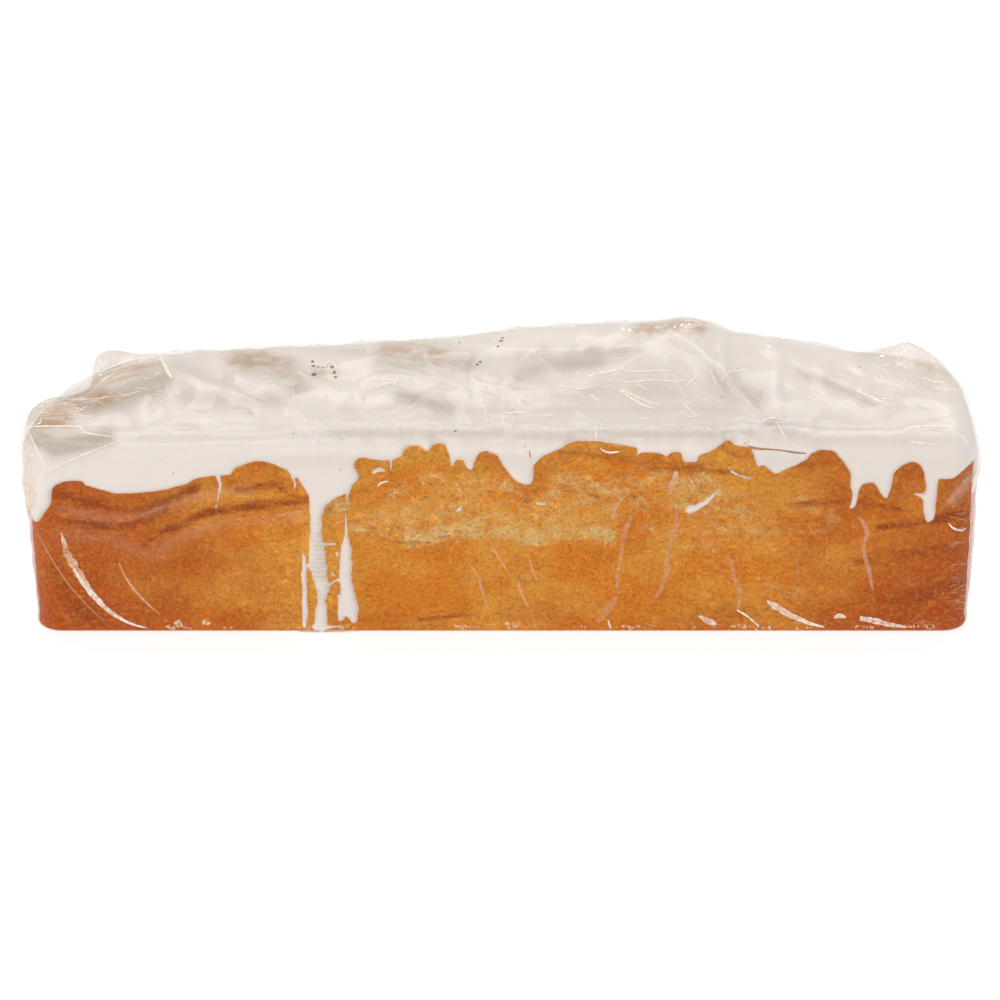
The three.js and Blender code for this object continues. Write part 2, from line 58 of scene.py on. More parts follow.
WHITE = (1.0, 1.0, 1.0, 1.0)

Array = np.ndarray
Place = tuple[float, float]
Stop = tuple[float, float, float]
Colour = tuple[float, float, float, float]
Piece = bpy.types.Object
Socket = bpy.types.NodeSocket
Draw = np.random.Generator


# ---- Small maths ----


def smoothstep(x: Array, low: float, high: float) -> Array:
    """Smooth step from 0 at low to 1 at high."""
    t = np.clip((x - low) / (high - low), 0.0, 1.0)
    return t * t * (3.0 - 2.0 * t)


def bell(x: Array, at: float, spread: float | Array) -> Array:
    """Bell curve of height 1 round a place."""
    return np.exp(-(((x - at) / spread) ** 2))


def lerp(a: float | Array, b: float | Array, t: float | Array) -> float | Array:
    """Straight blend from a to b."""
    return a + (b - a) * t


@dataclass(frozen=True)
class Grade:
    """A smooth change from nothing at one place to a strength at another, which may be the lower one."""

    start: float
    end: float
    most: float = 1.0

    def __call__(self, x: Array) -> Array:
        """Its strength at places."""
        return self.most * smoothstep((x - self.start) / (self.end - self.start), 0.0, 1.0)


def each(kind: type, *rows: tuple) -> tuple:
    """Makes one thing of a kind from each row of its values."""
    return tuple(kind(*row) for row in rows)


def stops(*bands: Stop) -> Array:
    """Places along a line in bands of (from, to, step), each band with its own even step."""
    parts = []
    for low, high, step in bands:
        count = max(1, math.ceil(abs(high - low) / step))
        parts.append(np.linspace(low, high, count, endpoint=False))
    return np.concatenate([*parts, [bands[-1][1]]])


def linear_colour(code: str) -> Colour:
    """Linear colour, with full alpha, of a hex code such as "d08a2a"."""
    shares = [int(code[i:i + 2], 16) / 255.0 for i in (0, 2, 4)]
    r, g, b = (s / 12.92 if s <= 0.04045 else ((s + 0.055) / 1.055) ** 2.4 for s in shares)
    return (r, g, b, 1.0)


class Noise:
    """Smooth seeded noise over space, between about -1 and 1."""

    OCTAVE_SHIFT = 17.3
    SPREAD = 1.7

    def __init__(self, seed: int) -> None:
        """Draws the noise's directions.

        Args:
            seed: Seed of the draw.
        """
        rng = np.random.default_rng(seed)
        directions = rng.normal(size=(256, 3))
        self.directions = directions / np.linalg.norm(directions, axis=1, keepdims=True)
        self.shuffle = rng.permutation(256)

    def __call__(
        self, points: Array, size: float, octaves: int = 1, squeeze: Stop = (1.0, 1.0, 1.0),
    ) -> Array:
        """Noise at points.

        Args:
            points: N by 3 places.
            size: Size of the largest lumps.
            octaves: How many times finer lumps of half the size and strength are added.
            squeeze: Factor on each axis; the lumps are longer along one that is under 1.

        Returns:
            N values.
        """
        total = np.zeros(len(points))
        for octave in range(octaves):
            scaled = points * np.array(squeeze) / (size / 2 ** octave) + self.OCTAVE_SHIFT * octave
            total += self._single(scaled) / 2 ** octave
        return total

    def _single(self, p: Array) -> Array:
        """One octave of the noise, with lumps of size 1."""
        cell = np.floor(p).astype(np.int64)
        f = p - cell
        w = f ** 3 * (f * (f * 6 - 15) + 10)
        total = np.zeros(len(p))
        for corner in itertools.product((0, 1), repeat=3):
            c = cell + corner
            row = self.shuffle[c[:, 0] & 255] + c[:, 1]
            index = self.shuffle[(self.shuffle[row & 255] + c[:, 2]) & 255]
            weight = np.where(np.array(corner) == 1, w, 1 - w).prod(axis=1)
            total += weight * (self.directions[index] * (f - corner)).sum(axis=1)
        return self.SPREAD * total


class SteadyDraw:
    """Seeded draw of numbers between 0 and 1, the one that the loaf's solids use for their drips."""

    WORD = 0xFFFFFFFF
    STEP = 0x6D2B79F5

    def __init__(self, seed: int) -> None:
        """Starts the draw.

        Args:
            seed: Seed of the draw; the first number is dropped.
        """
        self.state = seed
        self.next()

    def next(self) -> float:
        """The next number."""
        self.state = (self.state + self.STEP) & self.WORD
        t = self.state
        t = ((t ^ (t >> 15)) * (t | 1)) & self.WORD
        t ^= (t + (((t ^ (t >> 7)) * (t | 61)) & self.WORD)) & self.WORD
        return (t ^ (t >> 14)) / 4294967296.0


# ---- The view ----


@dataclass(frozen=True)
class FrontView:
    """The camera in front of the loaf, a little above it."""

    elevation: float = 19.0
    distance: float = 1200.0
    aim_height: float = 37.0
    focal: float = 2986.8
    sensor: float = 36.0
    front_plane: float = -53.0
    far_clip: float = 20.0

    @cached_property
    def axes(self) -> tuple[Array, Array, Array]:
        """Place, line of sight and up direction."""
        angle = math.radians(self.elevation)
        look = np.array([0.0, math.cos(angle), -math.sin(angle)])
        up = np.array([0.0, math.sin(angle), math.cos(angle)])
        return np.array([0.0, 0.0, self.aim_height]) - self.distance * look, look, up

    def project(self, points: Array) -> Array:
        """Places in the frame of N points of space."""
        at, look, up = self.axes
        ray = points - at
        depth = ray @ look
        across, height = self.focal * ray[:, 0] / depth, self.focal * (ray @ up) / depth
        return np.stack([HALF_FRAME + across, HALF_FRAME - height], axis=1)

    def on_front(self, places: Iterable[Place]) -> Array:
        """Where places of the frame fall on the loaf's front, as N rows of along and height."""
        at, look, up = self.axes
        flat = np.array([(x - HALF_FRAME, HALF_FRAME - y) for x, y in places], float) / self.focal
        ray = look + flat[:, :1] * np.array(X_AXIS) + flat[:, 1:] * up
        reach = (self.front_plane - at[1]) / ray[:, 1]
        return np.stack([at[0] + reach * ray[:, 0], at[2] + reach * ray[:, 2]], axis=1)

    def ray(self, place: Place) -> tuple[Array, Array]:
        """Start and direction of the line of sight through a place of the frame."""
        at, look, up = self.axes
        across, down = place[0] - HALF_FRAME, place[1] - HALF_FRAME
        return at, self.focal * look + across * np.array(X_AXIS) - down * up

    def place_camera(self) -> None:
        """Makes the scene's camera."""
        at, look, _ = self.axes
        data = bpy.data.cameras.new("front_camera")
        data.sensor_width = self.sensor
        data.lens = self.focal * self.sensor / FRAME_SIDE
        data.clip_end = self.far_clip
        camera = bpy.data.objects.new("front_camera", data)
        camera.location = Vector(at * MM)
        camera.rotation_euler = Vector(look).to_track_quat("-Z", "Y").to_euler()
        bpy.context.scene.collection.objects.link(camera)
        bpy.context.scene.camera = camera


VIEW = FrontView()
SIDE_DISTANCE = 400.0


class Side(Enum):
    """A side of the loaf that is looked at squarely: its across and up directions."""

    BACK = ((-1, 0, 0), (0, 0, 1))
    TOP = ((1, 0, 0), (0, 1, 0))
    LEFT_END = ((0, -1, 0), (0, 0, 1))
    RIGHT_END = ((0, 1, 0), (0, 0, 1))

    def ray(self, place: Place) -> tuple[Array, Array]:
        """Start and direction of the line of sight through a place, given in millimetres."""
        across, up = (np.array(axis, float) for axis in self.value)
        out = np.cross(across, up)
        return place[0] * across + place[1] * up + SIDE_DISTANCE * out, -out


class Sight:
    """Finds where places of a view fall on a piece."""

    def __init__(self, piece: Piece, view: FrontView | Side = VIEW) -> None:
        """Sorts the piece's faces for looking up.

        Args:
            piece: A mesh whose points are in the loaf's own frame.
            view: Where it is looked at from.
        """
        corners = [v.co / MM for v in piece.data.vertices]
        self.tree = BVHTree.FromPolygons(corners, [tuple(p.vertices) for p in piece.data.polygons])
        self.view = view

    def find(self, place: Place) -> tuple[Array, Array] | None:
        """Point and outward direction of the piece at a place, or None beside it."""
        at, ray = self.view.ray(place)
        point, normal, _, _ = self.tree.ray_cast(Vector(at), Vector(ray).normalized())
        if point is None:
            return None
        out = np.array(normal)
        return np.array(point), out if out @ ray < 0 else -out


@dataclass(frozen=True)
class Stroke:
    """A soft stroke along places of the frame.

    Args:
        places: Places along it.
        width: Half width, in units of the frame.
        power: Strength at its middle.
    """

    places: tuple[Place, ...]
    width: float
    power: float = 1.0

    def distance(self, flat: Array) -> Array:
        """Distance of N places of the frame from the stroke's line."""
        return line_distance(flat, np.array(self.places, float))[0]


def line_distance(points: Array, line: Array) -> tuple[Array, Array]:
    """Distance from a line of straight pieces.

    Args:
        points: N by 2 places.
        line: M by 2 points along the line.

    Returns:
        N distances, and N places along the line, counted in its points.
    """
    if len(line) == 1:
        return np.hypot(*(points - line[0]).T), np.zeros(len(points))
    best = np.full(len(points), np.inf)
    along = np.zeros(len(points))
    for k in range(len(line) - 1):
        a, b = line[k], line[k + 1]
        step = b - a
        t = np.clip(((points - a) @ step) / max(float(step @ step), 1e-9), 0.0, 1.0)
        gap = np.hypot(*(points - a - t[:, None] * step).T)
        nearer = gap < best
        best = np.where(nearer, gap, best)
        along = np.where(nearer, k + t, along)
    return best, along


def paint(flat: Array, strokes: Iterable[Stroke]) -> Array:
    """Strongest of some soft strokes at N places of the frame."""
    total = np.zeros(len(flat))
    for stroke in strokes:
        total = np.maximum(total, stroke.power * np.exp(-((stroke.distance(flat) / stroke.width) ** 2)))
    return total


# ---- The loaf's form ----


@dataclass(frozen=True)
class LoafForm:
    """Surface of the baked loaf: u runs along it and over its ends, v round its section.

    v starts in the middle of the base and goes towards the front, up the wall and over the crown.
    """

    half_length: float = 181.2
    half_width: float = 51.0
    draft_length: float = 1.0
    draft_width: float = 1.4
    shoulder: float = 78.5
    shoulder_radius: float = 5.0
    base_radius: float = 1.8
    corner_radius: float = 10.0
    end_edge_drop: float = 8.5
    end_base_rise: float = 1.0
    middle_height: float = 41.0
    base_shift: float = 0.9
    slump: Grade = Grade(-146.0, -184.0, 6.2)
    base_height: float = 0.9
    crown_rise: float = 17.4
    crown_bluntness: float = 1.15
    dome: tuple[float, float, float, float] = (58.0, 10.8, 84.0, 48.0)
    knob: Stop = (75.0, 3.4, 13.0)
    sags: tuple[Grade, ...] = each(
        Grade, (-70.0, -112.0, 2.2), (-118.0, -184.0, 15.2), (112.0, 146.0, 3.0), (146.0, 190.0, 8.0),
    )
    wall_unevenness: float = 0.5
    difference_step: float = 0.05
    foot_blend: Place = (3.4, 5.0)
    foot_height: float = 5.0
    table: float = 0.04

    @cached_property
    def core(self) -> float:
        """Half length of the straight walls."""
        return self.half_length - self.corner_radius

    @cached_property
    def corner_arc(self) -> float:
        """Length of the plan's rounded corner."""
        return math.pi / 2 * self.corner_radius

    @cached_property
    def end_reach(self) -> float:
        """Half width of the flat end."""
        return self.half_width - self.corner_radius

    @cached_property
    def u_end(self) -> float:
        """u at the middle of an end."""
        return self.core + self.corner_arc + self.end_reach

    @cached_property
    def v_marks(self) -> tuple[float, float, float, float, float]:
        """v where the base arc, the wall, the shoulder's arc and the crown start, and v at the ridge."""
        base = self.half_width - self.base_radius
        wall = base + math.pi / 2 * self.base_radius
        shoulder = wall + self.shoulder - self.shoulder_radius - self.base_radius
        crown = shoulder + math.pi / 2 * self.shoulder_radius
        return base, wall, shoulder, crown, crown + self.half_width - self.shoulder_radius

    def wall_v(self, z: float | Array) -> float | Array:
        """v of a height on the front wall."""
        return self.v_marks[1] + z - self.base_radius

    def all_round(self, steps: Sequence[float]) -> Array:
        """Places all round the section, without a repeat of the first.

        Args:
            steps: Step on the base, the base arc, the wall, the shoulder's arc and the crown at the
                front, then on the same five at the back, from the crown down.

        Returns:
            v of each place.
        """
        front = (0.0, *self.v_marks)
        marks = front + tuple(2 * front[-1] - v for v in front[-2::-1])
        return stops(*zip(marks, marks[1:], steps))[:-1]

    def rise(self, x: Array) -> Array:
        """Rise of the ridge above the shoulders."""
        at, rise, left, right = self.dome
        total = self.crown_rise + rise * bell(x, at, np.where(x < at, left, right))
        total = total + self.knob[1] * bell(x, self.knob[0], self.knob[2])
        return total - sum(sag(x) for sag in self.sags)

    def section(self, v: Array, rise: Array) -> tuple[Array, Array]:
        """Place across and height of the full section at v."""
        base, wall, shoulder, crown, ridge = self.v_marks
        back = v > ridge
        w = np.where(back, 2 * ridge - v, v)
        low = (w - base) / self.base_radius
        high = (w - shoulder) / self.shoulder_radius
        crown_half = self.half_width - self.shoulder_radius
        bands = [w < base, w < wall, w < shoulder, w < crown]
        over = np.maximum(ridge - w, 0.0)
        y = np.select(bands, [
            w,
            base + self.base_radius * np.sin(low),
            np.full_like(w, self.half_width),
            crown_half + self.shoulder_radius * np.cos(high),
        ], over)
        arch = np.maximum(np.cos(math.pi / 2 * over / crown_half), 0.0) ** self.crown_bluntness
        z = np.select(bands, [
            np.zeros_like(w),
            self.base_radius * (1 - np.cos(low)),
            self.base_radius + w - wall,
            self.shoulder - self.shoulder_radius * (1 - np.sin(high)),
        ], self.shoulder + rise * arch)
        return np.where(back, y, -y), z

    def mold(self, u: Array, v: Array) -> Array:
        """Points of the straight-sided loaf, N by 3."""
        side, reach = np.sign(u), np.abs(u)
        along = reach - self.core
        angle = np.clip(along / self.corner_radius, 0.0, math.pi / 2)
        turned = 1 - np.cos(angle)
        across = lerp(1.0, 1 - self.corner_radius / self.half_width, turned)
        left = np.clip(1 - (along - self.corner_arc) / self.end_reach, 0.0, 1.0)
        x = side * np.where(along > 0, self.core + self.corner_radius * np.sin(angle), reach)
        y, z = self.section(v, self.rise(x))
        above, below = self.shoulder - self.middle_height, self.middle_height
        shrunk = np.where(z > below, 1 - self.end_edge_drop / above, 1 - self.end_base_rise / below)
        up = lerp(1.0, shrunk, turned)
        height = self.middle_height + (z - self.middle_height) * up * left
        return np.stack([x, y * across * left, height], axis=1)

    def normal(self, u: Array, v: Array) -> Array:
        """Outward directions of the straight-sided loaf, N by 3."""
        step = self.difference_step
        along = self.mold(u + step, v) - self.mold(u - step, v)
        _, _, _, crown, ridge = self.v_marks
        width, spread = self.foot_blend
        turn = step + width * bell(np.minimum(v, 2 * ridge - v), crown, spread)
        round_ = self.mold(u, v + turn) - self.mold(u, np.maximum(v - turn, 0.0))
        out = np.cross(along, round_)
        out /= np.maximum(np.linalg.norm(out, axis=1, keepdims=True), 1e-12)
        pole = np.abs(u) >= self.u_end - step
        out[pole] = np.stack([np.sign(u[pole]), np.zeros(pole.sum()), np.zeros(pole.sum())], axis=1)
        return out

    def settle(self, p: Array) -> Array:
        """Leans the walls out with height, slumps the left end to the back and stands the loaf up."""
        lift = np.clip(p[:, 2] / self.shoulder, 0.0, 1.0)
        wave = self.wall_unevenness * np.sin(p[:, 0] / 23 + 1.3) * np.sin(lift * math.pi)
        x = p[:, 0] * (1 + self.draft_length / self.half_length * lift) + self.base_shift * (1 - lift)
        y = p[:, 1] * (1 + (self.draft_width * lift + wave) / self.half_width)
        sunk = self.slump(p[:, 0]) * lift ** 2
        return np.stack([x, y, p[:, 2] + self.base_height - sunk * (1 + p[:, 1] / self.half_width)], axis=1)

    def foot(self, z: Array) -> Array:
        """How much of the foot's bulge a height has, 1 at the base."""
        return 1 - smoothstep(z, 0.0, self.foot_height)

    def layer(self, u: Array, v: Array, depth: float | Array) -> Array:
        """Points at a depth over the sponge, N by 3."""
        depth = np.broadcast_to(depth, u.shape)
        points = self.settle(self.mold(u, v) + self.normal(u, v) * depth[:, None])
        points[:, 2] = np.maximum(points[:, 2], self.table)
        return points

    # The walls' plan: s runs round the loaf from the middle of its front.

    @cached_property
    def s_marks(self) -> tuple[float, float, float, float]:
        """s where the corner ends, the flat end ends, the back starts, and at the back's middle."""
        corner = self.core + self.corner_arc
        end = corner + 2 * self.end_reach
        back = end + self.corner_arc
        return corner, end, back, back + self.core

    def plan_place(self, p: Array) -> Array:
        """s of the wall nearest to points of the straight-sided loaf."""
        corner, _, back, half = self.s_marks
        side = np.where(p[:, 0] < 0, -1.0, 1.0)
        reach, across = np.abs(p[:, 0]), np.abs(p[:, 1])
        turn = np.arctan2(reach - self.core, np.maximum(across - self.end_reach, 1e-9))
        turn = np.clip(turn, 0.0, math.pi / 2) * self.corner_radius
        front = p[:, 1] < 0
        straight = np.where(front, p[:, 0], side * (half - reach))
        flat_end = side * (corner + p[:, 1] + self.end_reach)
        rounded = side * np.where(front, self.core + turn, back - turn)
        return np.select([reach <= self.core, across <= self.end_reach], [straight, flat_end], rounded)

    def front_place(self, points: Array) -> Array:
        """s and mould height of N rows of along and height on the finished front."""
        z = points[:, 1] - self.base_height
        lift = np.clip(z / self.shoulder, 0.0, 1.0)
        x = (points[:, 0] - self.base_shift * (1 - lift)) / (1 + self.draft_length / self.half_length * lift)
        past = np.clip((np.abs(x) - self.core) / self.corner_radius, 0.0, 1.0)
        s = np.where(past > 0, np.sign(x) * (self.core + self.corner_radius * np.arcsin(past)), x)
        return np.stack([s, z], axis=1)


LOAF = LoafForm()


# ---- Meshes ----


@dataclass
class Skin:
    """A mesh in the making: its places on the loaf's surface and its faces."""

    u: Array
    v: Array
    faces: list[list[int]]

    @cached_property
    def mold(self) -> Array:
        """Its points on the straight-sided loaf."""
        return LOAF.mold(self.u, self.v)

    def layer(self, depth: float | Array) -> Array:
        """Its points at a depth over the sponge."""
        return LOAF.layer(self.u, self.v, depth)


def closed_skin(us: Array, vs: Array) -> Skin:
    """Rings round the whole loaf with a pole at each end.

    Args:
        us: Places of the rings, without the poles.
        vs: Places round each ring, without a repeat of the first.

    Returns:
        The skin; its last two points are the poles.
    """
    rings, around = len(us), len(vs)
    u = np.append(np.repeat(us, around), [-LOAF.u_end, LOAF.u_end])
    v = np.append(np.tile(vs, rings), [LOAF.v_marks[4]] * 2)
    i, j = np.meshgrid(np.arange(rings - 1), np.arange(around), indexing="ij")
    a, b = i * around + j, i * around + (j + 1) % around
    faces = np.stack([a, a + around, b + around, b], axis=-1).reshape(-1, 4).tolist()
    low, high = rings * around, rings * around + 1
    last = (rings - 1) * around
    for j in range(around):
        k = (j + 1) % around
        faces.append([j, k, low])
        faces.append([last + k, last + j, high])
    return Skin(u, v, faces)


# Faces of a cell by which of its corners lie inside: a digit is a corner, a letter the cut on the
# side after that corner (a lies between corners 0 and 1, d between 3 and 0).
CELL_CUTS: dict[int, tuple[str, ...]] = {
    1: ("0ad",), 2: ("1ba",), 4: ("2cb",), 8: ("3dc",), 3: ("01bd",), 6: ("12ca",), 12: ("23db",),
    9: ("30ac",), 5: ("0ad", "2cb"), 10: ("1ba", "3dc"), 7: ("012cd",), 14: ("123da",),
    13: ("230ab",), 11: ("301bc",), 15: ("0123",),
}


def trimmed_skin(
    us: Array, vs: Array, inside: Array, least: float = 0.06,
) -> tuple[Skin, list[tuple[int, int]]]:
    """Part of a grid where a field is positive, cut along its zero line.

    Args:
        us: Grid lines along the loaf.
        vs: Grid lines round it.
        inside: The field at the grid's points, len(us) by len(vs).
        least: Smallest share of a grid side that a cut leaves.

    Returns:
        The skin and the pairs of points along its rim.
    """
    inside = np.where(np.abs(inside) < 1e-9, 1e-9, inside)
    kept = inside > 0
    grid = np.full(kept.shape, -1)
    grid[kept] = np.arange(kept.sum())
    i, j = np.nonzero(kept)
    us_out, vs_out = [us[i]], [vs[j]]
    count = int(kept.sum())
    cuts = []
    for axis in (0, 1):
        first = inside[:-1, :] if axis == 0 else inside[:, :-1]
        second = inside[1:, :] if axis == 0 else inside[:, 1:]
        crossing = (first > 0) != (second > 0)
        index = np.full(crossing.shape, -1)
        index[crossing] = count + np.arange(crossing.sum())
        count += int(crossing.sum())
        i, j = np.nonzero(crossing)
        t = np.clip(first[crossing] / (first[crossing] - second[crossing]), least, 1 - least)
        us_out.append(us[i] + t * (us[i + 1] - us[i]) if axis == 0 else us[i])
        vs_out.append(vs[j] if axis == 0 else vs[j] + t * (vs[j + 1] - vs[j]))
        cuts.append(index)
    tokens = {
        "0": grid[:-1, :-1], "1": grid[1:, :-1], "2": grid[1:, 1:], "3": grid[:-1, 1:],
        "a": cuts[0][:, :-1], "b": cuts[1][1:, :], "c": cuts[0][:, 1:], "d": cuts[1][:-1, :],
    }
    case = sum((tokens[str(k)] >= 0).astype(int) << k for k in range(4))
    faces: list[list[int]] = []
    rim: list[tuple[int, int]] = []
    for number, shapes in CELL_CUTS.items():
        cells = case == number
        if not cells.any():
            continue
        for shape in shapes:
            faces.extend(np.stack([tokens[t][cells] for t in shape], axis=1).tolist())
            for first, second in zip(shape, shape[1:] + shape[0]):
                if first.isalpha() and second.isalpha():
                    rim.extend(zip(tokens[first][cells].tolist(), tokens[second][cells].tolist()))
    return Skin(np.concatenate(us_out), np.concatenate(vs_out), faces), rim


def ring_faces(first: int, rings: int, around: int) -> list[list[int]]:
    """Faces that join closed rings of points, one ring after the other.

    Args:
        first: Number of the first ring's first point.
        rings: How many rings there are.
        around: Points in each ring.

    Returns:
        Faces of four points.
    """
    faces = []
    for i, j in itertools.product(range(rings - 1), range(around)):
        a, b = first + i * around + j, first + i * around + (j + 1) % around
        faces.append([a, b, b + around, a + around])
    return faces


def make_piece(
    name: str,
    slot: str,
    points: Array,
    faces: list[list[int]],
    finish: "Finish",
    fields: dict[str, Array] | None = None,
    stands_for: str | None = None,
) -> Piece:
    """Makes a smooth mesh object and joins it to the loaf's one body.

    Args:
        name: Name of the piece.
        slot: Not used.
        points: N by 3 places in millimetres.
        faces: Faces as lists of point numbers.
        finish: What dresses it.
        fields: Values at the points that the finish reads, by name.
        stands_for: Solid that it is shown in place of.

    Returns:
        The piece.
    """
    mesh = bpy.data.meshes.new(name)
    mesh.from_pydata((points * MM).tolist(), [], faces)
    mesh.shade_smooth()
    for key, values in (fields or {}).items():
        mesh.attributes.new(key, "FLOAT", "POINT").data.foreach_set("value", values.astype(np.float32))
    mesh.materials.append(finish.material())
    piece = bpy.data.objects.new(name, mesh)
    bpy.context.scene.collection.objects.link(piece)
    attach(piece, BODY)
    if stands_for:
        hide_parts(stands_for)
    LOG.info("%s: %d triangles", name, sum(len(face) - 2 for face in faces))
    return piece


# ---- Finishes ----


class Canvas:
    """Node tree of one material."""

    def __init__(self, name: str) -> None:
        """Starts an empty material.

        Args:
            name: Name of the material.
        """
        self.owner = bpy.data.materials.new(name)
        self.owner.use_nodes = True
        self.tree = self.owner.node_tree
        self.tree.nodes.clear()
        self.output = self.tree.nodes.new("ShaderNodeOutputMaterial")

    def node(self, kind: str, inputs: dict | None = None, **settings: object) -> bpy.types.Node:
        """Adds a node.

        Args:
            kind: Type of node, without "ShaderNode".
            inputs: Values or sockets for its inputs, by name or number.
            **settings: Its other settings.

        Returns:
            The node.
        """
        made = self.tree.nodes.new("ShaderNode" + kind)
        for key, value in settings.items():
            setattr(made, key, value)
        for key, value in (inputs or {}).items():
            if isinstance(value, Socket):
                self.tree.links.new(value, made.inputs[key])
            else:
                made.inputs[key].default_value = value
        return made

    def math(self, operation: str, *values: object, clamp: bool = False) -> Socket:
        """Result of a Math node on values or sockets."""
        made = self.node("Math", dict(enumerate(values)), operation=operation, use_clamp=clamp)
        return made.outputs[0]

    def times(self, value: object, factor: object, clamp: bool = False) -> Socket:
        """Product of two values or sockets."""
        return self.math("MULTIPLY", value, factor, clamp=clamp)

    def field(self, name: str) -> Socket:
        """Values kept at the mesh's points."""
        return self.node("Attribute", attribute_name=name).outputs["Fac"]

    def places(self, squeeze: Stop = (1.0, 1.0, 1.0)) -> Socket:
        """Places on the object in millimetres, squeezed by a factor along each axis."""
        where = self.node("TexCoord").outputs["Object"]
        return self.node("Mapping", {"Vector": where, "Scale": [s / MM for s in squeeze]}).outputs[0]

    def noise(
        self, where: Socket, size: float, detail: float = 2.0, roughness: float = 0.5,
    ) -> Socket:
        """Noise between 0 and 1 with lumps of a size in millimetres."""
        inputs = {"Vector": where, "Scale": 1 / size, "Detail": detail, "Roughness": roughness}
        return self.node("TexNoise", inputs).outputs["Fac"]

    def ramp(self, value: object, low: float, high: float) -> Socket:
        """Smooth step of a value from 0 at low to 1 at high."""
        inputs = {"Value": value, "From Min": low, "From Max": high}
        return self.node("MapRange", inputs, interpolation_type="SMOOTHSTEP").outputs[0]

    def mix(self, share: object, first: object, second: object) -> Socket:
        """Blend of two colours."""
        return self.node("Mix", {0: share, 6: first, 7: second}, data_type="RGBA").outputs[2]

    def bump(self, height: object, strength: float, depth: float) -> Socket:
        """Fine relief of a depth in millimetres."""
        return self.node("Bump", {"Strength": strength, "Distance": depth * MM, "Height": height}).outputs[0]

    def solid(self, inputs: dict) -> Socket:
        """Opaque surface."""
        return self.node("BsdfPrincipled", inputs).outputs[0]

    def milky(self, share: object, colour: object, roughness: float, specular: float) -> Socket:
        """Clear film that is milky by a share, with a faint painted glow: a weak emission in its own colour
        that stands in for light.
        """
        milk = self.solid({
            "Base Color": colour, "Roughness": roughness, "Specular IOR Level": specular,
            # Painted glow: this emission brightens the milky film where the lamps leave it dim.
            "Emission Color": colour, "Emission Strength": 0.1,
        })
        clear = self.node("BsdfTransparent", {"Color": WHITE})
        return self.node("MixShader", {0: share, 1: clear.outputs[0], 2: milk}).outputs[0]

    def finish(self, surface: Socket) -> bpy.types.Material:
        """Joins the shader to the output and gives the material."""
        self.tree.links.new(surface, self.output.inputs["Surface"])
        return self.owner


class Finish:
    """A finish that makes its material once."""

    name: str

    def surface(self, c: Canvas) -> Socket:
        """Lays the finish's nodes on a canvas and gives its shader."""
        raise NotImplementedError

    def material(self) -> bpy.types.Material:
        """The material, made on first use."""
        canvas = None if self.name in bpy.data.materials else Canvas(self.name)
        return canvas.finish(self.surface(canvas)) if canvas else bpy.data.materials[self.name]


@dataclass(frozen=True)
class Grain:
    """One layer of noise that tints a finish.

    Args:
        size: Size of its lumps in millimetres.
        detail: How many finer layers it has.
        roughness: How strong the finer layers are.
        low: Value where the tint starts.
        high: Value where it is full.
        share: How strong it is.
        squeeze: Factor along the loaf; the lumps are longer where it is under 1.
        bite: How deep it breaks up a field of the mesh.
    """

    size: float
    detail: float
    roughness: float
    low: float
    high: float
    share: float = 1.0
    squeeze: float = 0.72
    bite: float = 0.0

    def noise(self, canvas: Canvas) -> Socket:
        """Its noise, between 0 and 1."""
        return canvas.noise(canvas.places((self.squeeze, 1.0, 1.0)), self.size, self.detail, self.roughness)

    def spots(self, canvas: Canvas) -> Socket:
        """Where the noise itself passes the step, 0 to 1."""
        return canvas.ramp(self.noise(canvas), self.low, self.high)

    def ragged(self, canvas: Canvas, name: str) -> Socket:
        """Field of the mesh, broken up by the noise, 0 to its share."""
        jog = canvas.times(canvas.math("SUBTRACT", self.noise(canvas), 0.5), self.bite)
        kept = canvas.times(canvas.ramp(canvas.field(name), 0.0, 0.5), jog)
        broken = canvas.ramp(canvas.math("ADD", canvas.field(name), kept), self.low, self.high)
        return canvas.times(broken, self.share)


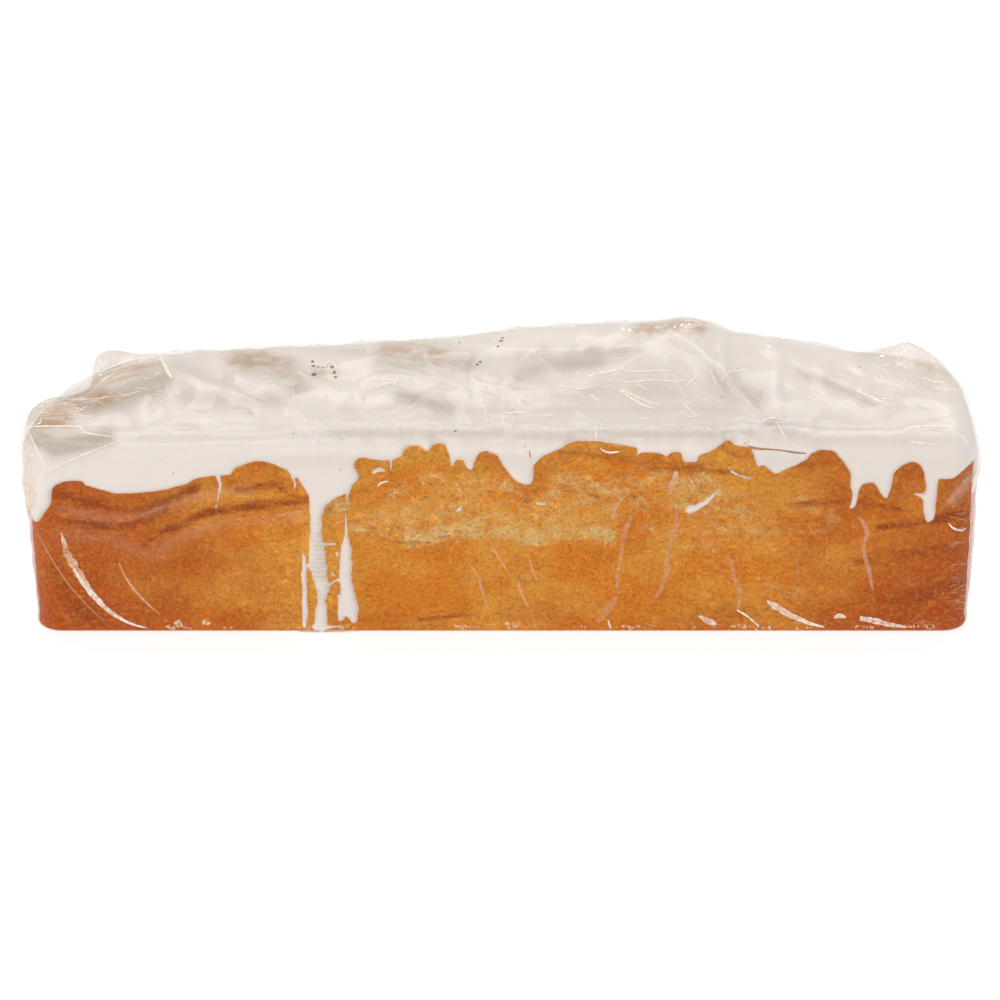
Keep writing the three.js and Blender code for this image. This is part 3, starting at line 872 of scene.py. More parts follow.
@dataclass(frozen=True)
class SpongeFinish(Finish):
    """Baked crumb: golden in the middle, browner to the ends and the base, darker near the top of the wall,
    with pores, torn bands and painted shadow in the bands' hollows.
    """

    name: str = "baked_sponge"
    golden: Colour = linear_colour("f6920e")
    amber: Colour = linear_colour("ffb644")
    brown: Colour = linear_colour("d25e00")
    deep: Colour = linear_colour("c84600")
    light: Colour = linear_colour("f4aa3c")
    pale: Colour = linear_colour("ffdb90")
    shadow: Colour = linear_colour("9c6e2e")
    wet: Colour = linear_colour("b04c00")
    speck: Colour = linear_colour("8a3c06")
    broad: Grain = Grain(15.0, 5.0, 0.55, 0.38, 0.62, squeeze=0.5)
    uneven: Grain = Grain(18.0, 4.0, 0.5, 0.0, 1.0, 1.1)
    mottle: Grain = Grain(2.2, 6.0, 0.78, 0.4, 0.62, 0.3)
    dapple: Grain = Grain(3.1, 6.0, 0.8, 0.52, 0.66, 0.4)
    torn: Grain = Grain(4.6, 9.0, 0.8, 0.1, 1.3, bite=4.4)
    hollow: Grain = Grain(1.9, 5.0, 0.7, 0.55, 1.3, 0.6, 0.3, 4.4)
    soaked: Grain = Grain(6.0, 4.0, 0.7, 0.1, 0.9, squeeze=0.3, bite=2.2)
    specks: Grain = Grain(0.95, 2.0, 0.5, 0.6, 0.7, 0.3)
    fine: Grain = Grain(1.2, 2.0, 0.7, 0.5, 0.62, 0.34, 0.85)
    speck_depth: float = 1.4

    def surface(self, c: Canvas) -> Socket:
        """Lays its nodes."""
        colour = c.mix(self.broad.spots(c), self.golden, self.amber)
        jog = c.times(c.math("SUBTRACT", self.uneven.noise(c), 0.5), self.uneven.share)
        colour = c.mix(c.ramp(c.math("ADD", c.field("brown"), jog), 0.0, 1.0), colour, self.brown)
        colour = c.mix(c.ramp(c.field("deep"), 0.0, 1.0), colour, self.deep)
        mottle, specks, fine = self.mottle.spots(c), self.specks.spots(c), self.fine.noise(c)
        colour = c.mix(c.times(mottle, self.mottle.share), colour, self.light)
        colour = c.mix(c.times(self.dapple.spots(c), self.dapple.share), colour, self.brown)
        colour = c.mix(self.torn.ragged(c, "pale"), colour, self.pale)
        # Painted shadow: the shadow colour darkens the hollows in the torn bands.
        colour = c.mix(self.hollow.ragged(c, "hollow"), colour, self.shadow)
        colour = c.mix(self.soaked.ragged(c, "wet"), colour, self.wet)
        colour = c.mix(c.times(specks, self.specks.share), colour, self.speck)
        for end, tint in ((self.fine.high, self.light), (1 - self.fine.high, self.brown)):
            colour = c.mix(c.times(c.ramp(fine, self.fine.low, end), self.fine.share), colour, tint)
        height = c.math("SUBTRACT", c.math("ADD", fine, mottle), c.times(specks, self.speck_depth))
        bump = c.bump(height, 0.8, 0.4)
        return c.solid({"Base Color": colour, "Roughness": 0.75, "Specular IOR Level": 0.2, "Normal": bump})


@dataclass(frozen=True)
class IcingFinish(Finish):
    """Set sugar icing: warm white, with painted shade in hollows, above and under the bead and on the dim
    crown, and random duller tone on the far sides; tan where the crumb shows through.
    """

    name: str = "sugar_icing"
    white: Colour = linear_colour("efe7e0")
    painted_shade_and_tone: Colour = linear_colour("cec1b4")
    tan: Colour = linear_colour("c7a98d")

    def surface(self, c: Canvas) -> Socket:
        """Lays its nodes."""
        cloud = c.math("ADD", c.noise(c.places((0.4, 1.0, 1.0)), 9.0, 3.0), 0.5)
        # Painted shade: the greyer colour goes where the mesh field marks shade, with random tone on the far
        # sides, broken up by cloudy noise.
        colour = c.mix(c.times(c.field("painted_shade_and_tone"), cloud, clamp=True), self.white, self.painted_shade_and_tone)
        patches = c.ramp(c.noise(c.places(), 5.0, 3.0), 0.3, 0.6)
        colour = c.mix(c.times(c.field("thin"), patches, clamp=True), colour, self.tan)
        return c.solid({
            "Base Color": colour, "Roughness": 0.5, "Specular IOR Level": 0.35,
            "Subsurface Weight": 0.15, "Subsurface Radius": (0.9, 0.6, 0.4), "Subsurface Scale": 2.5 * MM,
            "Normal": c.bump(c.noise(c.places(), 1.4, 3.0), 0.25, 0.3),
        })


@dataclass(frozen=True)
class FilmFinish(Finish):
    """Clear shrink film: see-through, glossy, milky where it is stretched or doubled, with painted highlights
    laid into its milky field.
    """

    name: str = "shrink_film"
    milk: Colour = linear_colour("ecdaca")
    gloss: Colour = WHITE
    strength: float = 0.6
    roughness: float = 0.06

    def surface(self, c: Canvas) -> Socket:
        """Lays its nodes."""
        bump = c.bump(c.noise(c.places((1.0, 0.6, 1.0)), 4.0, 3.0), 0.25, 0.25)
        gloss = c.node("BsdfGlossy", {"Color": self.gloss, "Roughness": self.roughness, "Normal": bump})
        edge = c.node("LayerWeight", {"Blend": 0.25, "Normal": bump}).outputs["Fresnel"]
        # The milky field holds real milkiness and painted highlight streaks, shown with a faint painted glow.
        haze_and_highlight = c.milky(c.field("haze_and_highlight"), self.milk, roughness=0.5, specular=0.5)
        share = c.times(edge, self.strength, clamp=True)
        return c.node("MixShader", {0: share, 1: haze_and_highlight, 2: gloss.outputs[0]}).outputs[0]


@dataclass(frozen=True)
class FoldFinish(Finish):
    """Doubled film along folds and where it lifts off, and painted glints: milky, hard gloss, warm over the
    crumb.
    """

    name: str = "film_fold_and_glint"
    # Warm white of the folds and of the painted glints.
    colour: Colour = linear_colour("fff5e6")
    faint: Colour = linear_colour("f6c498")
    whitening: Place = (0.3, 0.75)
    wall_top: Place = (58.0, 66.0)
    unbroken: Place = (0.85, 1.0)
    least: float = 0.35

    def surface(self, c: Canvas) -> Socket:
        """Lays its nodes."""
        milk, height = c.field("milk"), c.node("SeparateXYZ", {0: c.places()}).outputs[2]
        white = c.math("MAXIMUM", c.ramp(milk, *self.whitening), c.ramp(height, *self.wall_top))
        tint = c.mix(white, self.faint, self.colour)
        blotch = c.ramp(c.noise(c.places(), 1.3, 3.0, 0.65), 0.34, 0.6)
        broken = c.math("ADD", c.times(blotch, 1 - self.least), self.least)
        share = c.times(milk, c.math("MAXIMUM", c.ramp(milk, *self.unbroken), broken))
        return c.milky(share, tint, roughness=0.25, specular=0.6)


@dataclass(frozen=True)
class BitFinish(Finish):
    """Small opaque bits, such as peel and crumbs, of one colour with a lighter mottle."""

    name: str
    dark: Colour
    light: Colour
    roughness: float = 0.6

    def surface(self, c: Canvas) -> Socket:
        """Lays its nodes."""
        colour = c.mix(c.ramp(c.noise(c.places(), 1.2, 3.0), 0.35, 0.65), self.dark, self.light)
        return c.solid({"Base Color": colour, "Roughness": self.roughness})


@dataclass(frozen=True)
class FloorFinish(Finish):
    """Plain white studio floor."""

    name: str = "studio_floor"
    colour: Colour = (0.3, 0.3, 0.3, 1.0)

    def surface(self, c: Canvas) -> Socket:
        """Lays its nodes."""
        return c.solid({
            "Base Color": self.colour, "Roughness": 0.4, "Specular IOR Level": 0.15,
            "Emission Color": WHITE, "Emission Strength": 0.78,
        })


# ---- Icing's outline and thickness ----


FAR_INSIDE = 30.0
LINE_REACH = 10.0

# Lower edge of the icing along the front, from left to right.
FRONT_OUTLINE: tuple[Place, ...] = (
    (27, 500), (32.3, 523.7), (37.8, 523.7), (43.7, 514.8), (50.6, 504), (51.6, 494), (53.6, 488),
    (59.5, 484), (69.4, 482), (81.3, 482.2), (85.2, 486), (99, 490), (113, 493.6), (123, 494.4),
    (138.6, 493.6), (158.3, 491.7), (174, 488), (188, 484), (198, 479), (215.7, 476.6), (229.5, 475.8),
    (235.4, 469.3), (247.3, 464.4), (257.5, 462), (268, 463.4), (276, 466.4), (287.5, 472.3), (292.5, 481),
    (295.5, 478.2), (301.4, 486), (309.3, 500), (309.6, 510), (321.5, 516), (323.5, 511.8), (327, 506),
    (335, 500), (345, 495), (351, 488), (357.7, 481), (358.7, 476), (355.7, 469.3), (354.7, 464.4),
    (358.7, 459.4), (364.6, 458.5), (372.5, 460.8), (386.4, 461.4), (396.2, 459.4), (402.2, 456.5),
    (403.2, 452.5), (408, 447.6), (416, 446.6), (422, 448.6), (426, 452), (430, 449.6), (434, 445.6),
    (439.7, 444.6), (444.7, 446.6), (447.6, 452.5), (450.6, 464.4), (452.6, 467.4), (456.5, 461.4),
    (459.5, 460.4), (463.4, 462.4), (466.4, 468.3), (472.3, 470.3), (475.3, 462.4), (479.2, 454.5),
    (485.2, 452), (492, 453.5), (497.4, 457.2), (502.8, 466), (508.2, 473.5), (514.7, 481), (523.4, 485),
    (531, 484.3), (533.8, 477.8), (534.2, 467), (538.6, 461.6), (545, 456), (558, 450.7), (571, 444.2),
    (584, 442.5), (601.4, 443.6), (618.8, 445.7), (629.6, 447.5), (637, 450), (635.6, 461), (639.4, 455),
    (648, 453), (660, 454.4), (666.5, 457.2), (673, 453), (679.5, 453), (682.8, 461.6), (686, 463),
    (697, 462.2), (701, 456), (712, 451.8), (718.6, 447.5), (728.3, 442), (736, 446.4), (749, 448.6),
    (752.4, 453), (757.6, 468), (763.7, 466), (770.8, 472), (777, 475), (785, 471), (795.3, 467),
    (801.4, 463), (806.5, 460.8), (811.6, 454.7), (815.7, 452.2), (824, 450.6), (834, 452.7), (840, 458.8),
    (846.3, 467), (850.4, 475), (850.4, 487.3), (852.4, 495.5), (849.6, 509), (856.5, 505.7), (859, 493.5),
    (862.7, 486.3), (868.8, 483.3), (875, 485.3), (880, 493.5), (886, 499.6), (890, 493.5), (893, 483.3),
    (894.3, 475), (899.4, 469), (905.5, 465), (912.7, 463), (919.8, 466), (924, 475), (925, 492),
    (913, 494), (922, 500), (923, 510), (926.9, 523), (935, 518), (937, 499.6), (939.2, 481.2),
    (946.3, 480), (954.5, 479), (962.7, 473), (971.8, 466), (976, 464),
)

# Runs and loose drops under that edge: across, down and half width at each stop. The stem comes first.
RUNS: tuple[tuple[Stop, ...], ...] = (
    ((316, 494, 9), (316, 508, 6.6), (315.5, 520, 6.2), (316, 535, 6.8), (316, 552, 8.6), (318, 568, 9.8),
     (320, 580, 7.4), (322.5, 590, 7), (321.6, 602, 4.6), (321, 614, 6.6), (320.6, 627, 6.6)),
    ((303, 551, 0.9), (303.7, 561, 2), (303.7, 577, 3.1), (304.4, 593, 2.7), (304.7, 612, 3.5),
     (304.6, 628, 2.6)),
    ((349, 489, 2.4), (346.6, 500, 0.9), (345.6, 517, 0.9), (346, 528, 1.6), (346, 540, 3.1),
     (345.6, 548, 5.4), (346.2, 563, 6.2), (344.9, 577, 6.6), (346.4, 589, 7), (348.6, 602, 8.4),
     (350, 612, 8.6), (353.4, 621, 4.4)),
    ((342.5, 604, 5), (341, 614, 4.6), (341, 620, 3.4)),
    ((322, 545.5, 1.7), (330, 545.8, 1.6), (334, 545, 1.9)),
    ((327, 588, 1.8), (333, 584, 1.5), (339, 581, 1.6)),
    ((374, 472.6, 2.2), (379, 470, 2.8), (383.5, 470.6, 2)),
    ((217.5, 474, 3.2), (220.3, 486, 1.7), (218.4, 498, 1.2), (215.4, 509, 0.9)),
    ((391.4, 458, 1.8), (390.8, 468, 1), (389.4, 476, 0.7)),
    ((315, 628, 4), (330, 628.5, 2.2), (342, 628, 1.4)),
    ((690, 511, 4.4), (697, 508.5, 3.8), (706, 503, 3), (714, 496, 2), (720, 489.5, 0.8)),
    ((729, 468, 1), (733, 473, 1.8), (741, 477, 1.5), (751, 479.5, 1.2)),
    ((457, 512, 1.6), (460, 509.5, 2.2), (462, 508, 1)),
    ((536.5, 503, 1.2), (540, 504.6, 1.7), (545, 504.4, 1.3)),
    ((331, 571, 0.8), (332, 576, 1.4), (334, 577.5, 1.6)),
    ((335.5, 553, 1.2), (337, 557, 1.4)),
    ((338, 598, 1.6), (340, 601, 1.5)),
    ((293, 478, 0.8), (295, 486, 1.4), (294, 491, 0.7)),
)


@dataclass(frozen=True)
class Mound:
    """A soft lump over the crown.

    Args:
        x: Place along the loaf.
        y: Place across it.
        left: How far it spreads to the left.
        right: How far it spreads to the right.
        across: How far it spreads across.
        height: Height at its middle.
    """

    x: float
    y: float
    left: float
    right: float
    across: float
    height: float

    def over(self, p: Array) -> Array:
        """Its height over points of the straight-sided loaf."""
        along = np.where(p[:, 0] < self.x, self.left, self.right)
        return self.height * bell(p[:, 0], self.x, along) * bell(p[:, 1], self.y, self.across)


@dataclass(frozen=True)
class IcingForm:
    """Where the icing lies and how thick it is.

    The bead is the thick edge along the front shoulder: its height, ends and how softly it ends, then
    how far it lies under the crown's edge and spreads down and up. A shoulder lump has its place along
    the loaf, its spread along and up, and its height.
    """

    top: float = 2.3
    wall: float = 1.7
    shoulder_blend: Place = (9.0, 2.0)
    rim_round: float = 2.4
    rim_sink: float = 0.35
    under_sink: float = 0.75
    bead: tuple[float, float, float, float] = (2.5, -84.0, 115.0, 9.0)
    bead_shape: Stop = (1.0, 6.0, 15.0)
    shoulder_lumps: tuple[tuple[float, float, float, float], ...] = (
        (94.5, 6.5, 4.5, 1.6), (115.0, 5.0, 4.0, 1.5),
    )
    hollow: Mound = Mound(-88.0, -6.0, 17.0, 17.0, 11.0, 1.2)
    mound: Mound = Mound(-170.0, -33.0, 6.5, 11.0, 11.0, 6.4)
    bead_unevenness: float = 0.22
    unevenness: float = 0.12
    wrinkle: Stop = (-69.5, 6.0, 0.28)
    wrinkle_pitch: float = 1.8
    wrinkled: tuple[Grade, ...] = each(Grade, (4.0, 24.0), (50.0, 42.0))
    crease: float = 0.36
    creased: tuple[Grade, ...] = each(Grade, (-92.0, -60.0), (124.0, 112.0))
    back_edge: float = 66.5
    end_edge: float = 59.0
    wave: Place = (1.3, 9.0)
    drip_spacing: float = 19.0
    drip_jitter: float = 7.0
    drip_half: Place = (1.8, 4.4)
    drip_drop: Place = (4.0, 17.0)
    drip_seed: int = 11
    outline_step: float = 0.8
    outline_gap: float = 2.0
    outline_lap: float = 12.0
    jog: Place = (2.2, 0.22)
    raggedness: Place = (3.2, 0.35)
    blend: float = 0.7
    noise: Noise = Noise(5)

    @cached_property
    def drips(self) -> list[tuple[float, float, float]]:
        """Place, half width and length of each drip on the ends and the back."""
        draw = SteadyDraw(self.drip_seed)
        corner, _, _, half_way = LOAF.s_marks
        found = []
        s = corner + self.drip_spacing / 2
        while s < 2 * half_way - corner - self.drip_spacing / 2:
            at = s + self.drip_jitter * (draw.next() - 0.5)
            half = lerp(*self.drip_half, draw.next())
            drop = lerp(*self.drip_drop, draw.next() ** 2)
            found.append((at - 2 * half_way if at > half_way else at, half, drop))
            s += self.drip_spacing
        return found

    def far_edge(self, s: Array) -> Array:
        """Height of the edge on the ends and the back."""
        _, end, back, _ = LOAF.s_marks
        height = lerp(self.end_edge, self.back_edge, smoothstep(np.abs(s), end, back))
        height = height + self.wave[0] * np.sin(s / self.wave[1])
        drop = np.zeros_like(s)
        for at, half, length in self.drips:
            q = np.clip(np.abs(s - at) / half, 0.0, 1.0)
            drop = np.maximum(drop, length * (1 - q ** 2.6) ** 0.6)
        return height - drop

    @cached_property
    def outline(self) -> Array:
        """The whole lower edge, as rows of s and height round the loaf, with some overlap at the back."""
        half_way = LOAF.s_marks[3]
        smooth = rounded_line(LOAF.front_place(VIEW.on_front(FRONT_OUTLINE)), 4)
        size, height = self.jog
        smooth[:, 1] += height * self.noise(np.pad(smooth, ((0, 0), (0, 1))), size, 2)
        far = half_way + self.outline_lap
        left = np.arange(-far, smooth[0, 0] - self.outline_gap, self.outline_step)
        right = np.arange(smooth[-1, 0] + self.outline_gap, far, self.outline_step)
        ends = [
            np.stack([s, self.far_edge((s + half_way) % (2 * half_way) - half_way)], axis=1)
            for s in (left, right)
        ]
        return np.concatenate([ends[0], smooth, ends[1]])

    def depth_in(self, u: Array, v: Array) -> Array:
        """Distance inside the icing's outline at places on the loaf, negative outside it."""
        p = LOAF.mold(u, v)
        found = np.full(len(u), FAR_INSIDE)
        low = p[:, 2] < LOAF.shoulder - 1.0
        here = np.stack([LOAF.plan_place(p[low]), p[low, 2]], axis=1)
        inner = signed_height(here, self.outline)
        front = p[low, 1] < 0
        size, share = self.raggedness
        for run in RUNS:
            line = run_stops(run)
            near = front & (np.abs(here[:, 0] - line[:, 0].mean()) < FAR_INSIDE)
            gap, along = line_distance(here[near], line[:, :2])
            half = np.interp(along, np.arange(len(line)), line[:, 2])
            ragged = share * self.noise(np.pad(here[near], ((0, 0), (0, 1))), size, 2)
            wide = half * (1 + 0.25 * ragged) + 0.5 * ragged * (half > 1)
            inner[near] = soft_max(inner[near], wide - gap, self.blend)
        found[low] = inner
        return found

    def thickness(self, u: Array, v: Array, inner: Array) -> Array:
        """Thickness of the icing over the sponge, from its distance inside the outline."""
        p = LOAF.mold(u, v)
        _, _, shoulder, crown, ridge = LOAF.v_marks
        w = np.minimum(v, 2 * ridge - v)
        thick, start, end, fade = self.bead
        below, under, behind = self.bead_shape
        reach = Grade(start - fade, start + fade)(p[:, 0]) * Grade(end + fade, end - fade)(p[:, 0])
        bead = thick * reach * bell(w, crown - below, np.where(w < crown - below, under, behind))
        bead = bead * (1 + self.bead_unevenness * self.noise(p, 11.0, 2, (1.0, 0.0, 0.0)))
        body = self.top + bead - self.hollow.over(p)
        for at, along, up, height in self.shoulder_lumps:
            body = body + height * bell(p[:, 0], at, along) * bell(v, (shoulder + crown) / 2 - 1, up)
        low, high = self.shoulder_blend
        full = lerp(self.wall, body, smoothstep(p[:, 2], LOAF.shoulder - low, LOAF.shoulder - high))
        full = full * (1 + self.unevenness * self.noise(p, 9.0, 2, (0.8, 0.7, 0.8)))
        full = full + self.mound.over(p) * smoothstep(w, shoulder, crown)
        round_ = np.sqrt(np.clip(1 - (1 - np.clip(inner / self.rim_round, 0, 1)) ** 2, 0, 1))
        flat = self.stem_wrinkles(p)[1] + self.bead_creases(p, v)
        return -self.rim_sink + (full + self.rim_sink + flat) * round_

    def stem_wrinkles(self, p: Array) -> tuple[Array, Array]:
        """Fine level wrinkles across the stem: where the icing is thin, and the wrinkles' height."""
        at, spread, height = self.wrinkle
        zone = bell(p[:, 0], at, spread) * (p[:, 1] < 0)
        for grade in self.wrinkled:
            zone = zone * grade(p[:, 2])
        wave = np.sin(2 * math.pi * (p[:, 2] + 0.6 * self.noise(p, 7.0)) / self.wrinkle_pitch)
        return zone * (0.65 - 0.35 * wave), height * zone * wave

    def bead_creases(self, p: Array, v: Array) -> Array:
        """Fine upright creases in the bead along the front shoulder."""
        crown = LOAF.v_marks[3]
        zone = bell(v, crown - 3, 8.0)
        for grade in self.creased:
            zone = zone * grade(p[:, 0])
        return self.crease * zone * self.noise(p, 2.6, 2, (1.0, 0.1, 0.1))


def rounded_line(points: Array, pieces: int) -> Array:
    """Smooth line through points, with some pieces between each two."""
    padded = np.concatenate([points[:1], points, points[-1:]])
    out = []
    for k in range(len(points) - 1):
        a, b, c, d = padded[k:k + 4]
        for t in np.arange(pieces) / pieces:
            out.append(0.5 * (2 * b + (c - a) * t + (2 * a - 5 * b + 4 * c - d) * t ** 2
                              + (3 * b - a - 3 * c + d) * t ** 3))
    return np.array([*out, points[-1]])


def run_stops(run: Sequence[Stop]) -> Array:
    """Stops of a run as rows of s, height and half width in millimetres."""
    middle = LOAF.front_place(VIEW.on_front((x, y) for x, y, _ in run))
    side = LOAF.front_place(VIEW.on_front((x + half, y) for x, y, half in run))
    return np.stack([middle[:, 0], middle[:, 1], side[:, 0] - middle[:, 0]], axis=1)


def soft_max(a: Array, b: Array, blend: float) -> Array:
    """Larger of two fields, with a rounded join."""
    h = np.clip(0.5 + 0.5 * (a - b) / blend, 0.0, 1.0)
    return lerp(b, a, h) + blend * h * (1 - h)


def signed_height(points: Array, line: Array) -> Array:
    """Distance of places from a line that runs from left to right, positive above it."""
    best = np.full(len(points), FAR_INSIDE)
    crossings = np.zeros(len(points), int)
    order = np.argsort(points[:, 0])
    sorted_s = points[order, 0]
    for a, b in zip(line[:-1], line[1:]):
        low, high = min(a[0], b[0]), max(a[0], b[0])
        first, last = np.searchsorted(sorted_s, [low - LINE_REACH, high + LINE_REACH])
        near = order[first:last]
        if not len(near):
            continue
        p = points[near]
        step = b - a
        best[near] = np.minimum(best[near], line_distance(p, np.array([a, b]))[0])
        over = (p[:, 0] >= low) & (p[:, 0] < high) & (high > low)
        share = np.where(over, (p[:, 0] - a[0]) / (step[0] if abs(step[0]) > 1e-9 else 1.0), 0.0)
        crossings[near] += over & (a[1] + share * step[1] > p[:, 1])
    return np.where(crossings % 2 == 0, best, -best)


ICING_FORM = IcingForm()


# ---- Broad relief that all layers share ----


@dataclass(frozen=True)
class CrownRelief:
    """Low lumps of the baked crown, which the icing and the film follow."""

    height: float = 1.3
    size: float = 34.0
    from_end: Place = (40.0, 66.0)
    noise: Noise = Noise(21)

    def __call__(self, u: Array, v: Array) -> Array:
        """Extra height at places on the loaf."""
        p = LOAF.mold(u, v)
        top = smoothstep(p[:, 2], LOAF.shoulder - 2, LOAF.shoulder + 8)
        top = top * smoothstep(LOAF.u_end - np.abs(u), *self.from_end)
        return self.height * top * self.noise(p, self.size, 2, (0.6, 1.0, 1.0))


CROWN_RELIEF = CrownRelief()


# ---- Sponge ----


@dataclass
class Sponge:
    """The baked loaf."""

    along_steps: Stop = (0.95, 1.3, 1.7)
    round_steps: tuple[float, ...] = (7.0, 1.0, 0.78, 2.4, 4.2, 4.2, 2.4, 1.5, 1.3, 7.0)
    finish: SpongeFinish = SpongeFinish()
    noise: Noise = Noise(3)
    crumb: float = 0.16
    swell: float = 0.35
    torn_edge: float = 0.45
    torn_depth: float = 0.55
    pits: float = 0.5
    shallow: float = 0.35
    foot: float = 0.6
    far_band: Place = (46.0, 15.0)
    palest: float = 5.0
    brown_ends: Grade = Grade(60.0, 178.0, 0.8)
    brown_low: Grade = Grade(20.0, 0.0, 0.38)
    # Darker towards the top of the wall, under the icing's edge.
    brown_high: Grade = Grade(52.0, 74.0, 0.22)
    brown_uneven: float = 0.22
    deep_ends: Grade = Grade(118.0, 182.0, 0.9)
    deep_low: Grade = Grade(46.0, 6.0)
    deepest: Grade = Grade(160.0, 180.0, 0.35)

    # Torn bands where the pale inside shows, hollow places in them where shadow is painted, and wet bands
    # where the film clings.
    torn: tuple[Stroke, ...] = each(
        Stroke,
        (((325, 508), (345, 505)), 9, 0.9),
        (((352, 528), (385, 531), (410, 529)), 7, 0.6),
        (((412, 540), (440, 535), (475, 528), (512, 533)), 11, 0.95),
        (((430, 512), (470, 505), (520, 505)), 10, 0.5),
        (((520, 540), (560, 532), (590, 531), (612, 536)), 10, 0.9),
        (((556, 478), (590, 484), (615, 492), (640, 500)), 11, 0.8),
        (((700, 478), (716, 486)), 9, 0.7),
        (((640, 468), (668, 476), (690, 484)), 9, 0.5),
        (((720, 528), (745, 531), (775, 527)), 9, 0.55),
        (((790, 532), (815, 528), (840, 520)), 8, 0.45),
        (((392, 490), (420, 480), (445, 478)), 9, 0.5),
        (((765, 590), (800, 592)), 9, 0.4),
        (((640, 520), (700, 540), (730, 560)), 24, 0.34),
        (((380, 512), (470, 520), (560, 512), (650, 500), (750, 508)), 24, 0.5),
        (((440, 486), (480, 484), (560, 492), (640, 480), (700, 488)), 14, 0.5),
        (((800, 500), (830, 512)), 14, 0.4),
    )
    hollows: tuple[Stroke, ...] = each(
        Stroke,
        (((326, 511), (345, 505)), 5, 0.8),
        (((362, 529), (392, 531)), 5, 0.7),
        (((395, 542), (425, 542), (455, 533), (478, 530)), 5, 0.75),
        (((410, 520), (428, 512)), 3, 0.6),
        (((562, 490), (590, 496), (604, 503)), 5, 0.8),
        (((640, 508), (652, 511), (664, 510)), 4, 0.8),
        (((668, 500), (690, 501)), 3, 0.9),
        (((525, 503), (545, 505)), 5, 0.7),
        (((724, 532), (740, 536)), 5, 0.7),
        (((764, 527), (790, 531)), 5, 0.6),
        (((765, 590), (795, 594)), 5, 0.5),
        (((502, 577), (520, 579), (544, 584)), 3.5, 0.9),
        (((410, 497), (420, 501)), 4, 0.6),
        (((650, 543), (662, 547)), 5, 0.5),
        (((630, 496), (640, 499)), 3, 0.7),
    )
    wet: tuple[Stroke, ...] = each(
        Stroke,
        (((53, 492), (70, 496), (90, 503), (108, 509), (125, 511), (143, 509), (160, 503),
          (195, 488)), 5.5, 0.8),
        (((48, 519), (70, 521), (95, 525), (118, 527), (130, 526), (148, 518), (165, 510)), 5.5, 0.8),
        (((142, 545), (160, 534), (185, 522), (212, 512), (240, 507), (270, 504), (325, 500)), 6, 0.75),
        (((50, 560), (70, 600), (100, 622)), 10, 0.6),
        (((240, 490), (275, 484), (300, 500)), 6, 0.5),
        (((110, 580), (150, 590), (200, 600)), 14, 0.3),
        (((640, 468), (700, 470), (760, 474), (830, 462)), 5, 0.4),
        (((790, 505), (850, 500), (900, 510)), 4, 0.5),
        (((880, 528), (925, 522), (965, 514)), 5, 0.7),
        (((860, 560), (900, 555), (950, 550)), 9, 0.4),
        (((890, 600), (930, 590), (962, 580)), 14, 0.45),
        (((560, 452), (600, 456), (640, 460), (700, 466)), 5, 0.4),
        (((420, 620), (500, 612), (560, 600), (600, 585)), 3, 0.4),
    )

    def depth(self, skin: Skin) -> tuple[Array, dict[str, Array]]:
        """Relief of the crumb, and the fields that the finish reads."""
        p = skin.mold
        flat, facing = seen(skin)
        # The hollow field marks where shadow is painted and the crumb is dented, in the torn bands and the
        # far streaks.
        torn, hollow, wet = (paint(flat, strokes) * facing for strokes in (self.torn, self.hollows, self.wet))
        streaks = self.noise(p, 13.0, 3, (0.35, 1.0, 1.0))
        far = bell(p[:, 2], *self.far_band) * smoothstep(streaks, 0.1, 0.55) * (1 - facing)
        torn = np.maximum(torn, far)
        hollow = np.maximum(hollow, far * smoothstep(streaks, 0.45, 0.8))
        brown, deep = self.browning(p)
        fields = {"pale": torn, "hollow": hollow, "wet": wet, "brown": brown, "deep": deep}
        pit = smoothstep(self.noise(p, 3.1, squeeze=(0.6, 1.0, 1.0)), 0.42, 0.75)
        relief = self.crumb * self.noise(p, 4.5, 3)
        relief += self.swell * self.noise(p, 24.0, squeeze=(0.5, 1.0, 1.0))
        relief += self.torn_edge * torn * self.noise(p, 2.6, 2)
        relief -= self.pits * pit * lerp(self.shallow, 1.0, torn) + self.torn_depth * hollow
        relief *= smoothstep(p[:, 2], 0.0, 3.0)
        return relief + self.foot * LOAF.foot(p[:, 2]) + CROWN_RELIEF(skin.u, skin.v), fields

    def browning(self, p: Array) -> tuple[Array, Array]:
        """How browned and how deeply browned the crust is at points of the straight-sided loaf; the first
        also holds the darkening near the top of the wall.
        """
        from_middle, height = np.abs(p[:, 0] - self.palest), p[:, 2]
        brown = self.brown_ends(from_middle) + self.brown_low(height) + self.brown_high(height)
        brown += self.brown_uneven * self.noise(p, 30.0, 2)
        reach = np.abs(p[:, 0])
        return brown, np.maximum(self.deep_ends(reach) * self.deep_low(height), self.deepest(reach))

    def build(self) -> Piece:
        """Makes the sponge."""
        skin = closed_skin(end_to_end(*self.along_steps), LOAF.all_round(self.round_steps))
        depth, fields = self.depth(skin)
        points = skin.layer(depth)
        return make_piece("sponge_loaf", "sponge", points, skin.faces, self.finish, fields, "sponge")


def end_to_end(middle: float, corner: float, end: float) -> Array:
    """Places of rings along the whole loaf, with a step for its walls, corners and ends."""
    last = LOAF.core + LOAF.corner_arc
    half = stops((0.0, LOAF.core, middle), (LOAF.core, last, corner), (last, LOAF.u_end - end, end))
    return np.concatenate([-half[:0:-1], half])


def seen(skin: Skin, depth: float | Array = 0.0) -> tuple[Array, Array]:
    """Places in the front view's frame of a skin's points, and how far each faces the view, 0 to 1."""
    points = skin.layer(depth)
    at = VIEW.axes[0]
    towards = at - points
    towards /= np.linalg.norm(towards, axis=1, keepdims=True)
    turn = (LOAF.normal(skin.u, skin.v) * towards).sum(axis=1)
    return VIEW.project(points), smoothstep(turn, 0.02, 0.12)


# ---- Icing ----


